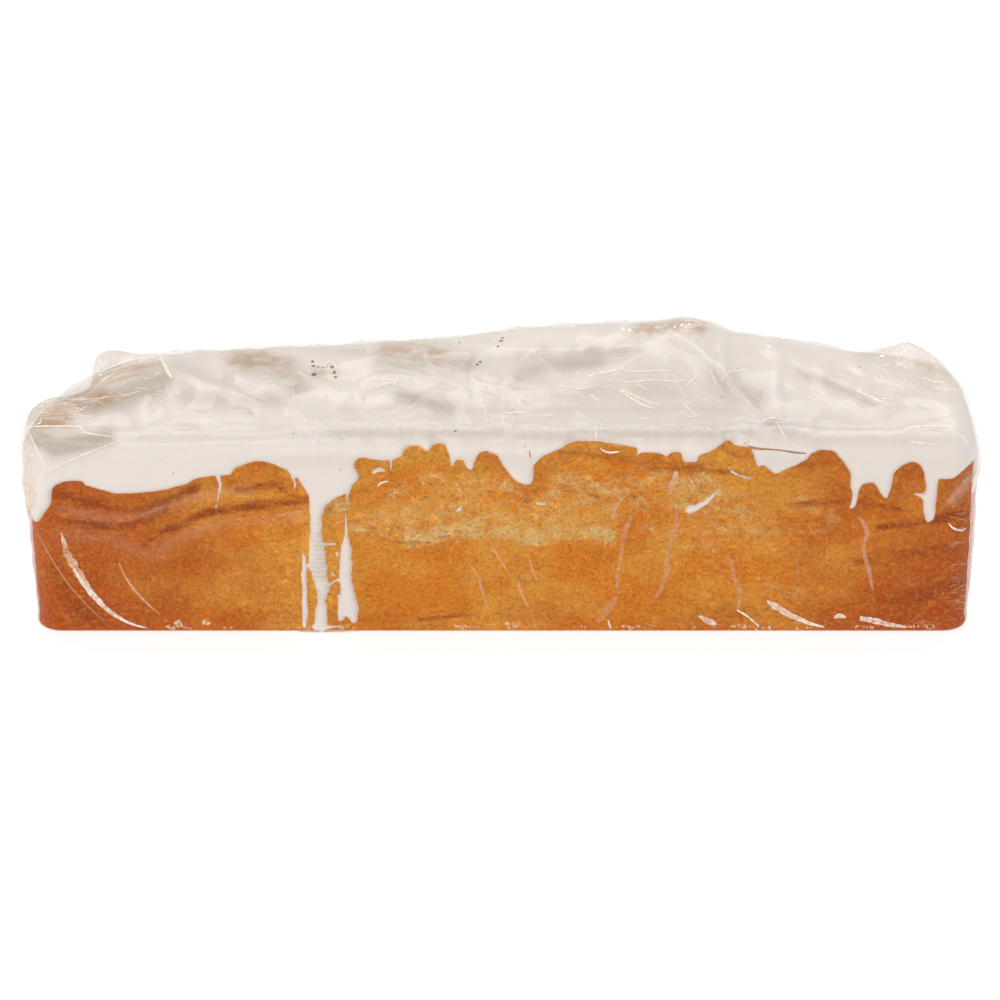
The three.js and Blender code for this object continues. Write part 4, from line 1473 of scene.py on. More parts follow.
@dataclass
class Icing:
    """The poured icing, a closed skin over the crown with its drips and runs."""

    along_steps: Stop = (0.95, 1.3, 1.6)
    finish: IcingFinish = IcingFinish()
    noise: Noise = Noise(8)
    far_thin: Grade = Grade(0.35, 0.8, 0.6)
    far_dull: Grade = Grade(0.1, 0.6, 0.5)
    stem_thin: float = 0.55
    # Lets the painted shade reach down the left end below the crown.
    dull_corner: Grade = Grade(-138.0, -150.0)

    # Where the icing is thin and shows the crumb, and where shade is painted on it: in hollows, along a line
    # above the bead, under the bead and over the dim crown.
    thin: tuple[Stroke, ...] = each(
        Stroke,
        (((97, 378), (120, 372), (140, 368)), 10, 0.8),
        (((235, 362), (262, 360), (284, 366)), 10, 0.8),
        (((290, 380), (295, 388)), 6, 0.6),
        (((386, 352), (410, 350), (440, 354)), 9, 0.7),
        (((455, 368), (470, 366)), 6, 0.4),
        (((640, 330), (665, 326), (700, 327)), 8, 0.8),
        (((570, 352), (605, 350), (640, 350)), 5, 0.5),
        (((520, 356), (545, 350)), 6, 0.4),
        (((318, 372), (332, 374)), 7, 0.6),
        (((26, 408), (44, 420), (62, 418)), 9, 1.5),
        (((58, 404), (85, 396), (108, 398)), 9, 1.2),
    )
    painted_shade_and_tone: tuple[Stroke, ...] = each(
        Stroke,
        (((30, 412), (80, 404), (120, 397), (160, 382)), 14, 1.1),
        (((770, 424), (785, 432), (806, 440)), 7, 0.7),
        (((38, 438), (56, 448), (80, 444), (108, 437)), 8, 1.5),
        (((240, 360), (275, 366), (300, 380)), 14, 0.7),
        (((380, 362), (430, 360), (470, 360)), 11, 0.7),
        (((400, 398), (430, 402), (450, 408)), 8, 1.0),
        (((520, 376), (545, 366), (600, 362)), 8, 0.6),
        (((560, 395), (620, 390), (680, 392)), 9, 0.3),
        (((715, 378), (735, 392), (760, 400)), 11, 0.6),
        (((300, 345), (360, 352)), 6, 0.3),
        (((185, 396), (235, 402), (290, 400)), 9, 0.45),
        (((150, 366), (200, 372), (240, 388)), 8, 0.4),
        (((800, 372), (850, 392), (900, 410)), 5, 0.5),
        (((860, 352), (900, 356), (930, 366)), 8, 0.4),
        (((330, 433), (420, 435), (500, 433)), 5, 0.75),
        (((340, 409), (450, 411), (560, 410), (700, 408), (760, 412)), 3, 0.25),
        (((520, 438), (620, 436), (700, 434), (750, 434)), 5.5, 1.0),
        (((790, 441), (850, 443), (930, 446)), 5, 0.4),
    )

    def tints(self, skin: Skin, outer: Array) -> dict[str, Array]:
        """Where the icing is thin, and where painted shade and random duller tone darken it, for its finish.
        """
        flat, facing = VIEW.project(outer), seen(skin)[1]
        p = skin.mold
        _, _, _, crown, ridge = LOAF.v_marks
        far = self.noise(p, 22.0, 2, (0.5, 1.0, 1.0))
        thin = paint(flat, self.thin) * facing + (1 - facing) * self.far_thin(far)
        # Painted shade from the strokes where the front view sees the icing; random duller tone on the far
        # sides.
        painted_shade_and_tone = paint(flat, self.painted_shade_and_tone) * facing + (1 - facing) * self.far_dull(-far)
        top = smoothstep(p[:, 2], LOAF.shoulder - 4, LOAF.shoulder + 2)
        top = np.maximum(top, smoothstep(np.minimum(skin.v, 2 * ridge - skin.v), crown - 3, crown + 1))
        return {
            "thin": thin * top + self.stem_thin * ICING_FORM.stem_wrinkles(p)[0],
            "painted_shade_and_tone": painted_shade_and_tone * np.maximum(top, self.dull_corner(p[:, 0])),
        }

    def build(self) -> Piece:
        """Makes the icing."""
        base, wall, shoulder, crown, ridge = LOAF.v_marks
        back, low_front, low_back = 2 * ridge, LOAF.wall_v(43), LOAF.wall_v(40)
        us, vs = end_to_end(*self.along_steps), stops(
            (base - 2, wall, 1.0), (wall, low_front, 0.62), (low_front, shoulder, 0.72),
            (shoulder, crown, 0.9), (crown, crown + 10, 1.0), (crown + 10, ridge, 1.45),
            (ridge, back - crown, 1.9), (back - crown, back - shoulder, 1.4),
            (back - shoulder, back - low_back, 1.1),
        )
        u, v = (a.ravel() for a in np.meshgrid(us, vs, indexing="ij"))
        skin, rim = trimmed_skin(us, vs, ICING_FORM.depth_in(u, v).reshape(len(us), len(vs)))
        inner = np.maximum(ICING_FORM.depth_in(skin.u, skin.v), 0.0)
        relief = CROWN_RELIEF(skin.u, skin.v)
        outer = skin.layer(ICING_FORM.thickness(skin.u, skin.v, inner) + relief)
        under = skin.layer(relief - ICING_FORM.under_sink)
        count = len(skin.u)
        faces = list(skin.faces)
        faces.extend([count + k for k in reversed(face)] for face in skin.faces)
        faces.extend([b, a, count + a, count + b] for a, b in rim)
        fields = {key: np.tile(values, 2) for key, values in self.tints(skin, outer).items()}
        points = np.concatenate([outer, under])
        return make_piece("icing_coat", "icing", points, faces, self.finish, fields, "icing")


# ---- Film ----


@dataclass
class Film:
    """The shrink film, a closed sheet round the whole loaf.

    It stands off the crown in tents, and along a low ridge with a place across, a spread and a height.
    It also stands off the front corners, with a height at the right and at the left.
    """

    along_steps: Stop = (1.15, 1.4, 1.8)
    round_steps: tuple[float, ...] = (8.0, 1.0, 1.1, 1.1, 1.25, 1.7, 1.6, 1.8, 1.3, 8.0)
    finish: FilmFinish = FilmFinish()
    noise: Noise = Noise(14)
    widenings: int = 2
    smoothings: int = 5
    clearance: float = 0.4
    tents: tuple[Mound, ...] = each(
        Mound,
        (-155.0, 6.0, 4.5, 12.0, 13.0, 11.0),
        (-172.0, -33.0, 7.0, 12.0, 13.0, 1.6),
        (161.0, 4.0, 9.0, 13.0, 15.0, 6.5),
        (177.0, -24.0, 11.0, 9.0, 18.0, 3.4),
    )
    low_ridge: Stop = (-37.0, 9.0, 1.2)
    taut: float = 0.35
    crease: float = 0.7
    fold: float = 0.7
    corner_stand: Place = (1.7, 0.9)
    corner_spread: float = 5.0
    corner_up: Place = (40.0, 30.0)
    foot: float = 0.85
    pucker: float = 0.9
    seal_height: float = 46.0
    end_haze: float = 0.16
    corner_haze: Place = (0.7, 0.25)
    most_haze: float = 0.95

    # Where the film is milky, partly as painted highlight on glints and faint whitish streaks, and its long
    # soft folds over the crown.
    veils: tuple[Stroke, ...] = each(
        Stroke,
        (((101, 360), (125, 357), (145, 360)), 9, 0.75),
        (((28, 415), (25, 440), (25, 470), (30, 505)), 5, 0.5),
        (((892, 350), (915, 356), (938, 370)), 11, 0.5),
        (((160, 358), (166, 366), (171, 378)), 2.4, 0.5),
        (((952, 500), (962, 488), (968, 478)), 5, 0.2),
        (((60, 508), (105, 519), (140, 515), (172, 505), (205, 494), (250, 490)), 4.5, 0.08),
        (((60, 534), (110, 538), (150, 556), (185, 535), (230, 522), (300, 516)), 6, 0.06),
    )
    folds: tuple[Stroke, ...] = each(
        Stroke,
        (((30, 417), (61, 414), (75, 422), (85, 434), (124, 437), (163, 430), (175, 419), (204, 418),
          (250, 417)), 5, 0.8),
        (((32, 428), (46, 469)), 4, 0.8),
        (((46, 469), (120, 436)), 5, 0.7),
        (((385, 358), (440, 372), (500, 392), (560, 398)), 7, 0.9),
        (((440, 333), (500, 352), (560, 352), (640, 348)), 7, 0.7),
        (((720, 330), (722, 365), (730, 395), (760, 420)), 7, 0.8),
        (((770, 350), (840, 380), (900, 412)), 7, 0.7),
        (((800, 345), (860, 372), (930, 395)), 6, 0.6),
        (((160, 350), (175, 375), (230, 395), (270, 412)), 7, 0.7),
        (((280, 350), (295, 372), (330, 392)), 7, 0.7),
        (((500, 400), (505, 440)), 5, 0.6),
        (((905, 430), (940, 426), (975, 428)), 4, 0.7),
        (((925, 442), (970, 446)), 3, 0.6),
    )

    def depth(self, skin: Skin) -> tuple[Array, Array]:
        """Distance of the film from the sponge, and its milkiness with its painted highlights."""
        p = skin.mold
        cover = self.cover(skin)
        flat, facing = seen(skin, cover)
        puckers, corners = self.puckers(p, skin.u), self.corners(p, skin.u)
        folds = sum(s.power * np.clip(1 - s.distance(flat) / s.width, 0, 1) for s in self.folds) * facing
        lift = self.over_crown(p, LOAF.normal(skin.u, skin.v)) + self.fold * folds + puckers + corners
        standing = smoothstep(p[:, 2], 0.0, 3.0)
        depth = cover + self.foot * LOAF.foot(p[:, 2]) + (self.clearance + lift) * standing
        return depth, self.haze_and_highlight(p, paint(flat, self.veils) * facing, puckers, corners)

    def over_crown(self, p: Array, normal: Array) -> Array:
        """How far the film stands off the crown: tents, a low ridge and taut creases."""
        y, spread, height = self.low_ridge
        raised = sum(tent.over(p) for tent in self.tents) + height * bell(p[:, 1], y, spread)
        above = smoothstep(p[:, 2], LOAF.shoulder - 6, LOAF.shoulder + 4)
        taut = self.noise(p, 16.0, 2, (1.0, 0.6, 1.0)) + 1
        sharp = smoothstep(1 - np.abs(self.noise(p, 19.0, squeeze=(0.9, 0.6, 1.0))), 0.7, 1.0)
        return raised * np.maximum(normal[:, 2], 0.0) ** 2 + above * (self.taut * taut + self.crease * sharp)

    def puckers(self, p: Array, u: Array) -> Array:
        """Gathers of the film that fan out from the seal on each end."""
        past = smoothstep(np.abs(u), LOAF.core + 6, LOAF.core + LOAF.corner_arc + 4)
        fan = 1 + np.abs(p[:, 2] - self.seal_height) / 70.0
        wander = 2.2 * self.noise(p, 16.0, 2, (1.0, 1.0, 0.4))
        ridges = (1 - np.abs(np.sin(0.42 * p[:, 1] / fan + wander))) ** 2
        return self.pucker * past * ridges * (0.6 + 0.4 * self.noise(p, 12.0))

    def corners(self, p: Array, u: Array) -> Array:
        """How far the film stands off the upright corners."""
        stand = np.where(u > 0, *self.corner_stand)
        stand = stand * bell(np.abs(u), LOAF.core + LOAF.corner_arc, self.corner_spread)
        return stand * bell(p[:, 2], *self.corner_up)

    def haze_and_highlight(self, p: Array, veils: Array, puckers: Array, corners: Array) -> Array:
        """Milkiness of the film, from its milky strokes, which are partly painted highlights, and from where
        it puckers and stands off the corners.
        """
        ragged = smoothstep(self.noise(p, 3.0, 3), -0.9, 0.2)
        on_end = smoothstep(np.abs(p[:, 0]), LOAF.core, LOAF.half_length) * smoothstep(puckers, 0.4, 0.9)
        streaks = 0.55 + 0.6 * self.noise(p, 3.5, 3, (1.0, 1.0, 0.12))
        corner = np.where(p[:, 1] < 0, *self.corner_haze) * smoothstep(corners, 0.5, 1.3) * streaks
        haze_and_highlight = np.maximum.reduce([veils * (0.45 + 0.55 * ragged), self.end_haze * on_end, corner])
        return np.clip(haze_and_highlight, 0.0, self.most_haze)

    def cover(self, skin: Skin) -> Array:
        """Smoothed outside of sponge and icing, as a depth over the sponge's form."""
        rings = len(end_to_end(*self.along_steps))
        around = (len(skin.u) - 2) // rings
        inner = ICING_FORM.depth_in(skin.u, skin.v)
        icing = np.where(inner > 0, ICING_FORM.thickness(skin.u, skin.v, np.maximum(inner, 0)), 0.0)
        grid = np.maximum(icing, 0.0)[:-2].reshape(rings, around)
        wide = grid.copy()
        for _ in range(self.widenings):
            ends = np.pad(wide, ((1, 1), (0, 0)))
            wide = np.maximum.reduce([wide, np.roll(wide, 1, 1), np.roll(wide, -1, 1), ends[:-2], ends[2:]])
        for _ in range(self.smoothings):
            wide = (2 * wide + np.roll(wide, 1, 1) + np.roll(wide, -1, 1)) / 4
            padded = np.pad(wide, ((1, 1), (0, 0)), mode="edge")
            wide = (2 * wide + padded[:-2] + padded[2:]) / 4
        smooth = np.maximum(wide, grid)
        return np.append(smooth.ravel(), [0.0, 0.0]) + CROWN_RELIEF(skin.u, skin.v)

    def build(self) -> Piece:
        """Makes the film."""
        skin = closed_skin(end_to_end(*self.along_steps), LOAF.all_round(self.round_steps))
        depth, haze_and_highlight = self.depth(skin)
        points = skin.layer(depth)
        return make_piece("film_wrap", "film", points, skin.faces, self.finish, {"haze_and_highlight": haze_and_highlight}, "film")


# ---- Folds of the film, painted glints and painted shadow lines ----


@dataclass(frozen=True)
class Fold:
    """One narrow ribbon that lies on a piece: a sharp fold of the film, a painted glint or highlight streak,
    or a painted shadow line.

    Args:
        stops: Across, down and half width at each stop, in the front view's frame.
        milk: How milky it is, 0 to 1, which also sets how bright a painted glint is.
    """

    stops: tuple[Stop, ...]
    milk: float


def glint(*places: Place, half: float = 0.4, milk: float = 1.0) -> Fold:
    """A painted glint: a thin whitish ribbon along places, which narrows at both ends."""
    last = len(places) - 1
    widths = (half * (0.4 if k in (0, last) else 1) for k in range(last + 1))
    return Fold(tuple((x, y, wide) for (x, y), wide in zip(places, widths)), milk)


# Painted glints along the film's creases over the crown and at the left end, placed where bright lines show.
CROWN_GLINTS: tuple[Fold, ...] = (
    Fold(((160.5, 357, 0.7), (164, 364, 1.5), (168, 371.5, 2.1), (171.5, 377.5, 0.9)), 0.9),
    glint((368.5, 378.5), (385, 379.5), (398, 381), (386, 383.5), (375, 386.5)),
    glint((329, 361.5), (334, 363), (338, 368), (346, 370.5)),
    glint((480, 383.5), (488, 386), (497, 393), half=0.7),
    glint((484, 388), (490, 391.5), (496, 394)),
    glint((558, 384.6), (570, 387.5), (582, 388.5), (599, 384.6)),
    glint((576.5, 379), (600, 373), (621, 369), (628.5, 371), (650, 371), (673, 370)),
    glint((608, 380), (632, 382), (651, 380), (682, 381), (687, 376)),
    glint((685, 386.7), (692, 380), (701, 373.7)),
    glint((658, 406), (640, 398), (621, 390.6), (641.5, 404.5), (653.5, 408.4), half=0.6),
    glint((589.5, 394.3), (594, 397), (600.4, 402), half=0.7),
    glint((691, 403.7), (684, 403.9), (690, 409), (698, 416)),
    glint((678.4, 415), (682.8, 412.3), (687, 416), (700, 416)),
    glint((632, 382.4), (641, 386.5), (651, 391)),
    glint((710, 370.5), (714, 378), (716, 383.5), (718.5, 387)),
    glint((720.7, 380), (729.4, 371.6), (738, 370.5), (749, 370)),
    glint((748, 381), (750.5, 381.8), half=1.1),
    glint((640, 419.2), (645, 418), (651, 418.8)),
    glint((538.5, 416), (546, 415), (552.6, 415.4)),
    glint((500, 411), (508, 413), (519, 411.7), (526.6, 412.8)),
    glint((902.5, 431), (910.6, 427), (934, 425.7), (948.4, 426.5), half=0.7),
    glint((889, 435.3), (899.4, 438.4)),
    glint((907.5, 441.4), (920, 442.6), (935, 445), half=0.7),
    glint((852.4, 388.4), (870, 396.6), (888, 404.7), half=0.7),
    glint((893, 367), (903.5, 364), (905.5, 371)),
    glint((938, 388.4), (950, 389), (962.7, 390.4)),
    glint((914.7, 375), (934, 381.2), (946.3, 382.2)),
    glint((28, 426.8), (50, 426), (79, 426.8), (87, 432.8), (119, 437.7), half=0.6),
    glint((28, 431), (37, 449), (45.7, 466.4), half=0.6),
    glint((46, 472), (80, 456), (122, 439.7), half=0.6),
    glint((760, 421), (772, 418), (790, 421), half=0.6),
    glint((776, 421), (783, 433), (787, 441), half=0.6),
    glint((597, 421), (596, 431), (596.4, 443)),
    glint((600, 448), (605, 451.5), (612, 452.6), (619, 451.5), half=0.9),
)

# Strips of film on the front: partly milky doubled film, partly painted highlight streaks.
FRONT_FOLDS_AND_HIGHLIGHTS: tuple[Fold, ...] = each(
    Fold,
    (((61.5, 533, 0.6), (63.5, 541, 2.0), (67, 552, 3.4), (74, 566, 3.8), (82, 579, 3.2),
      (92, 592, 1.4)), 0.62),
    (((74, 568, 0.6), (79, 577, 1.6), (87, 588, 2.4), (96, 598, 2.4), (106, 608, 2.2), (118, 617, 1.7),
      (132, 624, 1.1), (147, 628, 0.5)), 0.95),
    (((119, 563, 0.5), (124, 574, 0.8), (130, 584, 1.2), (140, 596, 1.2), (150, 606, 1),
      (160, 614, 0.5)), 0.47),
    (((37, 532, 0.4), (50, 556, 0.8), (64, 578, 0.8), (82, 600, 0.7), (104, 621, 0.4)), 0.29),
    (((276, 516, 0.6), (292, 513, 1.2), (308, 510, 0.6)), 0.25),
    (((330, 527, 0.6), (345, 520, 1.2), (372, 514, 0.6)), 0.29),
    (((377, 487, 0.5), (381, 483, 1), (388, 481, 0.5)), 0.8),
    (((491, 545, 0.5), (498, 556, 1.1), (508, 572, 0.6)), 0.40),
    (((529, 555, 0.5), (531.5, 567, 1), (537.5, 581, 0.6)), 0.36),
    (((478, 576, 0.6), (482, 590, 1.4), (487.5, 608, 0.8)), 0.36),
    (((518, 580, 0.7), (521, 592, 1.5), (528.5, 607, 0.7)), 0.36),
    (((468.5, 563, 0.5), (476, 573, 0.9), (483, 582, 0.5)), 0.36),
    (((623, 497, 0.8), (617, 506, 1.6), (611, 519, 0.8)), 0.36),
    (((632, 515, 1.6), (624, 534, 3), (621, 556, 2.2), (617, 580, 2.2), (620, 593, 1.6)), 0.24),
    (((617, 596, 2), (607, 611, 4), (597, 622, 2.4)), 0.22),
    (((676.3, 505, 1.6), (676.3, 525, 2.6), (669, 549, 2.8), (664.5, 582, 2.8), (651, 604, 1.4)), 0.23),
    (((676.5, 471.5, 1.8), (675, 480, 3.2), (671, 490, 3.2), (669.5, 494, 1.6)), 0.43),
    (((688, 475.6, 0.4), (693.6, 486.5, 0.9), (689, 497.3, 0.4)), 0.36),
    (((730, 556, 0.6), (733.5, 572, 2), (738, 588, 3), (740.5, 598, 2.6), (737, 610, 0.7)), 0.26),
    (((737, 610, 0.6), (747, 616, 0.9), (758.5, 626, 0.9)), 1.0),
    (((717.5, 541, 0.6), (719.6, 564, 0.6)), 0.22),
    (((691.4, 531, 0.6), (697, 536, 1.1), (703.4, 541, 0.6)), 0.29),
    (((858, 517, 0.8), (864, 524, 2.4), (867.5, 533, 2.4), (864, 543, 1.8), (865, 556, 2.4),
      (868.5, 570, 2.6), (871.5, 583, 1.6), (873, 590, 0.5)), 0.36),
    (((767, 601, 0.8), (775, 606, 3), (788, 614, 3), (800, 619.5, 2.2), (812, 624, 1.6),
      (824, 627, 0.8)), 0.85),
    (((834, 617.5, 1), (840, 615.6, 2.4), (846, 617.5, 0.8)), 0.85),
    (((860, 618, 2), (872, 620.5, 2.8), (888, 624, 2.2), (906, 627, 0.8)), 0.85),
    (((699, 616, 1.2), (704, 619, 3), (711, 622, 3), (716.5, 624.5, 0.8)), 0.8),
    (((608, 620, 0.6), (609.5, 625, 1), (611, 628.5, 0.6)), 0.9),
    (((948.5, 523, 0.5), (953, 528, 1), (961, 530.5, 0.9), (966, 528, 0.4)), 0.85),
    (((941, 510, 0.8), (952, 498, 2.2), (961, 487, 2.2), (968, 478, 0.8)), 0.18),
    (((796, 560, 0.4), (798, 571, 0.9), (799, 582, 0.4)), 0.22),
)


@dataclass(frozen=True)
class Crinkles:
    """Many small painted glints, as on fine crinkles of the film, that fill a zone of the frame.

    Args:
        middle: Middle of the zone.
        spread: Half width and half height of the zone.
        count: How many there are.
        lean: Their middle angle in degrees and how far they stray from it.
        reach: Shortest and longest.
        half: Half width of each.
        milk: How milky they are at most, which sets how bright the painted glints are.
        bow: How far they bend at most, as a share of their length.
    """

    middle: Place
    spread: Place
    count: int
    lean: Place
    reach: Place
    half: float = 0.4
    milk: float = 0.7
    bow: float = 0.16

    def folds(self, rng: Draw) -> list[Fold]:
        """Draws the zone's painted glints."""
        found = []
        for _ in range(self.count):
            x, y = (m + s * rng.uniform(-1, 1) for m, s in zip(self.middle, self.spread))
            angle = math.radians(self.lean[0] + self.lean[1] * rng.uniform(-1, 1))
            length = rng.uniform(*self.reach)
            dx, dy = length / 2 * math.cos(angle), length / 2 * math.sin(angle)
            bow = self.bow * rng.uniform(-1, 1)
            places = ((x - dx, y - dy), (x - 2 * bow * dy, y + 2 * bow * dx), (x + dx, y + dy))
            found.append(glint(*places, half=self.half, milk=self.milk * rng.uniform(0.4, 1.0)))
        return found


# Zones of painted glints on crinkled film.
GLINT_ZONES: tuple[Crinkles, ...] = each(
    Crinkles,
    ((555, 429), (205, 5), 84, (90, 9), (5, 15), 0.4, 0.3),
    ((400, 430), (110, 5), 26, (88, 9), (5, 13), 0.4, 0.26),
    ((502, 412), (20, 10), 12, (75, 25), (5, 13), 0.4, 0.7),
    ((130, 388), (38, 17), 26, (-28, 40), (4, 15), 0.4, 0.5),
    ((130, 358), (30, 4), 14, (-8, 30), (5, 14), 0.4, 0.7),
    ((262, 386), (34, 12), 18, (30, 70), (3, 10), 0.35, 0.4),
    ((330, 366), (26, 12), 9, (15, 60), (5, 12), 0.35, 0.6),
    ((455, 392), (60, 16), 10, (-15, 30), (6, 18), 0.35, 0.4),
    ((640, 386), (80, 18), 22, (15, 35), (8, 26), 0.35, 0.4),
    ((735, 392), (28, 26), 14, (60, 50), (8, 20), 0.35, 0.4),
    ((850, 392), (60, 22), 16, (24, 12), (14, 44), 0.35, 0.3),
    ((915, 366), (34, 13), 18, (25, 40), (4, 14), 0.4, 0.6),
    ((925, 395), (36, 12), 9, (10, 30), (8, 22), 0.35, 0.4),
    ((64, 410), (34, 12), 16, (-12, 22), (8, 26), 0.4, 0.6),
    ((30, 475), (5, 30), 20, (80, 50), (3, 9), 0.5, 0.5),
    ((590, 446), (140, 3), 14, (-4, 10), (10, 30), 0.35, 0.25),
    ((875, 432), (80, 8), 12, (6, 12), (8, 26), 0.35, 0.4),
    ((600, 350), (90, 6), 9, (-4, 8), (12, 34), 0.35, 0.35),
    ((500, 550), (180, 50), 14, (72, 22), (7, 22), 0.4, 0.22),
    ((760, 560), (110, 40), 12, (55, 30), (7, 26), 0.4, 0.2),
    ((930, 575), (26, 40), 14, (-38, 16), (8, 24), 0.4, 0.24),
    ((120, 570), (70, 40), 8, (50, 12), (10, 30), 0.4, 0.2),
    ((400, 622), (200, 4), 14, (-3, 10), (8, 26), 0.4, 0.25),
    ((800, 622), (150, 4), 16, (6, 12), (7, 22), 0.5, 0.4),
    ((958, 560), (5, 58), 30, (-12, 26), (4, 12), 0.5, 0.4),
)


@dataclass
class Ribbons:
    """Narrow closed ribbons that lie on a piece.

    Args:
        name: Name of the piece.
        slot: Passed on to make_piece, which does not use it.
        finish: What dresses it; it may read the field "milk".
        folds: The ribbons.
        zones: Zones of small ones.
        rise: Height of a ribbon's middle over the piece, in millimetres.
        seed: Seed of the draw.
        step: Distance between places along a ribbon, in units of the view.
        sink: How deep its underside lies in the piece.
        edge: Height of its edges over the piece.
        broad: Half widths from which and at which it counts as broad, so ragged and clearer.
        fade: How much of its milk the middle of a broad one loses.
        raggedness: How much the half width of a broad one varies.
        view: Where its places are seen from.
    """

    AROUND = 5
    JITTER_WEIGHTS = (0.2, 0.4, 0.6, 0.4, 0.2)

    name: str
    slot: str
    finish: Finish
    folds: tuple[Fold, ...]
    zones: tuple[Crinkles, ...] = ()
    rise: float = 0.2
    seed: int = 31
    step: float = 1.6
    sink: float = 0.12
    edge: float = 0.04
    broad: Place = (1.0, 3.0)
    fade: float = 0.45
    raggedness: float = 0.3
    view: FrontView | Side = VIEW

    def ribbon(self, sight: Sight, fold: Fold, rng: Draw) -> tuple[list[Array], list[float]]:
        """Points round one ribbon, five for each place along it, and their milkiness."""
        marks = np.array(fold.stops, float)
        longest = np.hypot(*np.diff(marks[:, :2], axis=0).T).max()
        line = rounded_line(marks, max(2, int(longest / self.step)))
        jitter = [
            np.convolve(rng.uniform(-1, 1, len(line) + self.AROUND - 1), self.JITTER_WEIGHTS, "valid")
            for _ in range(2)
        ]
        points, milk = [], []
        for k, (x, y, half) in enumerate(line):
            ahead, behind = line[min(k + 1, len(line) - 1), :2], line[max(k - 1, 0), :2]
            dx, dy = (ahead - behind) / max(float(np.hypot(*(ahead - behind))), 1e-6)
            wide = smoothstep(np.array(half), *self.broad)
            left, right = (half * (1 + self.raggedness * wide * side[k]) for side in jitter)
            spots = [sight.find((x - f * dy, y + f * dx)) for f in (-left, 0.0, right)]
            if None in spots:
                continue
            (a, out_a), (b, out_b), (c, out_c) = spots
            points += [
                a - self.sink * out_a, a + self.edge * out_a, b + self.rise * out_b,
                c + self.edge * out_c, c - self.sink * out_c,
            ]
            edge = fold.milk * (0.85 + 0.15 * jitter[0][k])
            milk += [edge, edge, edge * (1 - self.fade * wide), edge, edge]
        return points, milk

    def build(self, bed: Piece) -> Piece:
        """Makes the ribbons on a piece."""
        sight, rng = Sight(bed, self.view), np.random.default_rng(self.seed)
        drawn = [fold for zone in self.zones for fold in zone.folds(rng)]
        points, faces, milk = [], [], []
        for fold in (*self.folds, *drawn):
            more, values = self.ribbon(sight, fold, rng)
            rows = len(more) // self.AROUND
            if rows < 2:
                continue
            first = len(points)
            last = first + len(more) - self.AROUND
            faces += ring_faces(first, rows, self.AROUND)
            faces += [[*range(first, first + self.AROUND)][::-1], [*range(last, last + self.AROUND)]]
            points += more
            milk += values
        fields = {"milk": np.array(milk)}
        return make_piece(self.name, self.slot, np.array(points), faces, self.finish, fields)


def film_folds_and_glints() -> Ribbons:
    """Sharp folds and doubled strips of the film, with painted glints and highlight streaks."""
    return Ribbons("film_folds_and_glints", "film", FoldFinish(), CROWN_GLINTS + FRONT_FOLDS_AND_HIGHLIGHTS, GLINT_ZONES)


def far_folds() -> list[Ribbons]:
    """Painted glints on crinkles of the film on the back, the far side of the crown and the ends, placed in
    millimetres.
    """
    end = each(
        Crinkles,
        ((0, 24), (44, 18), 22, (90, 16), (8, 26), 0.16, 0.5),
        ((0, 66), (44, 10), 12, (90, 16), (6, 16), 0.16, 0.45),
        ((0, 44), (46, 34), 5, (90, 14), (20, 40), 0.6, 0.5),
    )
    zones = {
        Side.BACK: each(
            Crinkles,
            ((0, 38), (172, 32), 60, (78, 30), (4, 18), 0.16, 0.35),
            ((0, 40), (165, 28), 9, (76, 24), (14, 34), 0.7, 0.4),
            ((0, 78), (170, 5), 60, (88, 12), (3, 8), 0.15, 0.4),
            ((0, 4), (160, 3), 12, (0, 12), (8, 20), 0.5, 0.7),
            ((168, 36), (10, 30), 18, (60, 24), (8, 26), 0.18, 0.5),
            ((-168, 36), (10, 30), 18, (-60, 24), (8, 26), 0.18, 0.5),
        ),
        Side.TOP: each(
            Crinkles,
            ((0, 22), (160, 26), 60, (8, 50), (4, 15), 0.15, 0.55),
            ((0, 24), (160, 20), 7, (20, 60), (10, 18), 0.5, 0.6),
        ),
        Side.LEFT_END: end,
        Side.RIGHT_END: end,
    }
    return [
        Ribbons(
            # Pieces of painted glints on the far sides.
            f"film_folds_and_glints_{side.name.lower()}", "film", FoldFinish(), (), found,
            seed=51 + k, step=0.6, broad=(0.4, 1.2), view=side,
        )
        for k, (side, found) in enumerate(zones.items())
    ]


@dataclass
class EndSeals:
    """The crimped tongue of film that sticks out across each end.

    Its wave and its crimp each have a height and a length.
    """

    reach: float = 186.2
    root: float = 176.0
    sweep: float = 2.4
    half: float = 37.0
    height: float = 46.0
    thick: float = 0.5
    wave: Place = (1.6, 15.0)
    crimp: Place = (0.22, 1.5)
    columns: int = 240
    rows: int = 6
    milk: float = 0.6
    finish: FoldFinish = FoldFinish()

    def build(self) -> Piece:
        """Makes both seals."""
        y = np.linspace(-self.half, self.half, self.columns)
        tip = self.reach - self.sweep * (1 - np.cos(math.pi / 2 * y / self.half))
        share = np.linspace(0.0, 1.0, self.rows)
        x = self.root + (tip[:, None] - self.root) * share
        wave, crimp = (size * np.sin(2 * math.pi * y / length) for size, length in (self.wave, self.crimp))
        z = (self.height + wave)[:, None] + crimp[:, None] * share
        wide = np.broadcast_to(y[:, None], x.shape)
        under, over = (np.stack([x, wide, z + side * self.thick / 2], axis=-1) for side in (-1, 1))
        loop = np.concatenate([under, over[:, ::-1]], axis=1)
        around, count = loop.shape[1], loop.shape[0] * loop.shape[1]
        points, faces = [], []
        for first, side in ((0, 1), (count, -1)):
            points.append(loop.reshape(-1, 3) * np.array([side, 1, 1]))
            last = first + count - around
            faces += [face[::side] for face in ring_faces(first, self.columns, around)]
            faces += [[*range(first, first + around)][::-side], [*range(last, last + around)][::side]]
        fields = {"milk": np.full(2 * count, self.milk)}
        return make_piece("film_seals", "film", np.concatenate(points), faces, self.finish, fields)


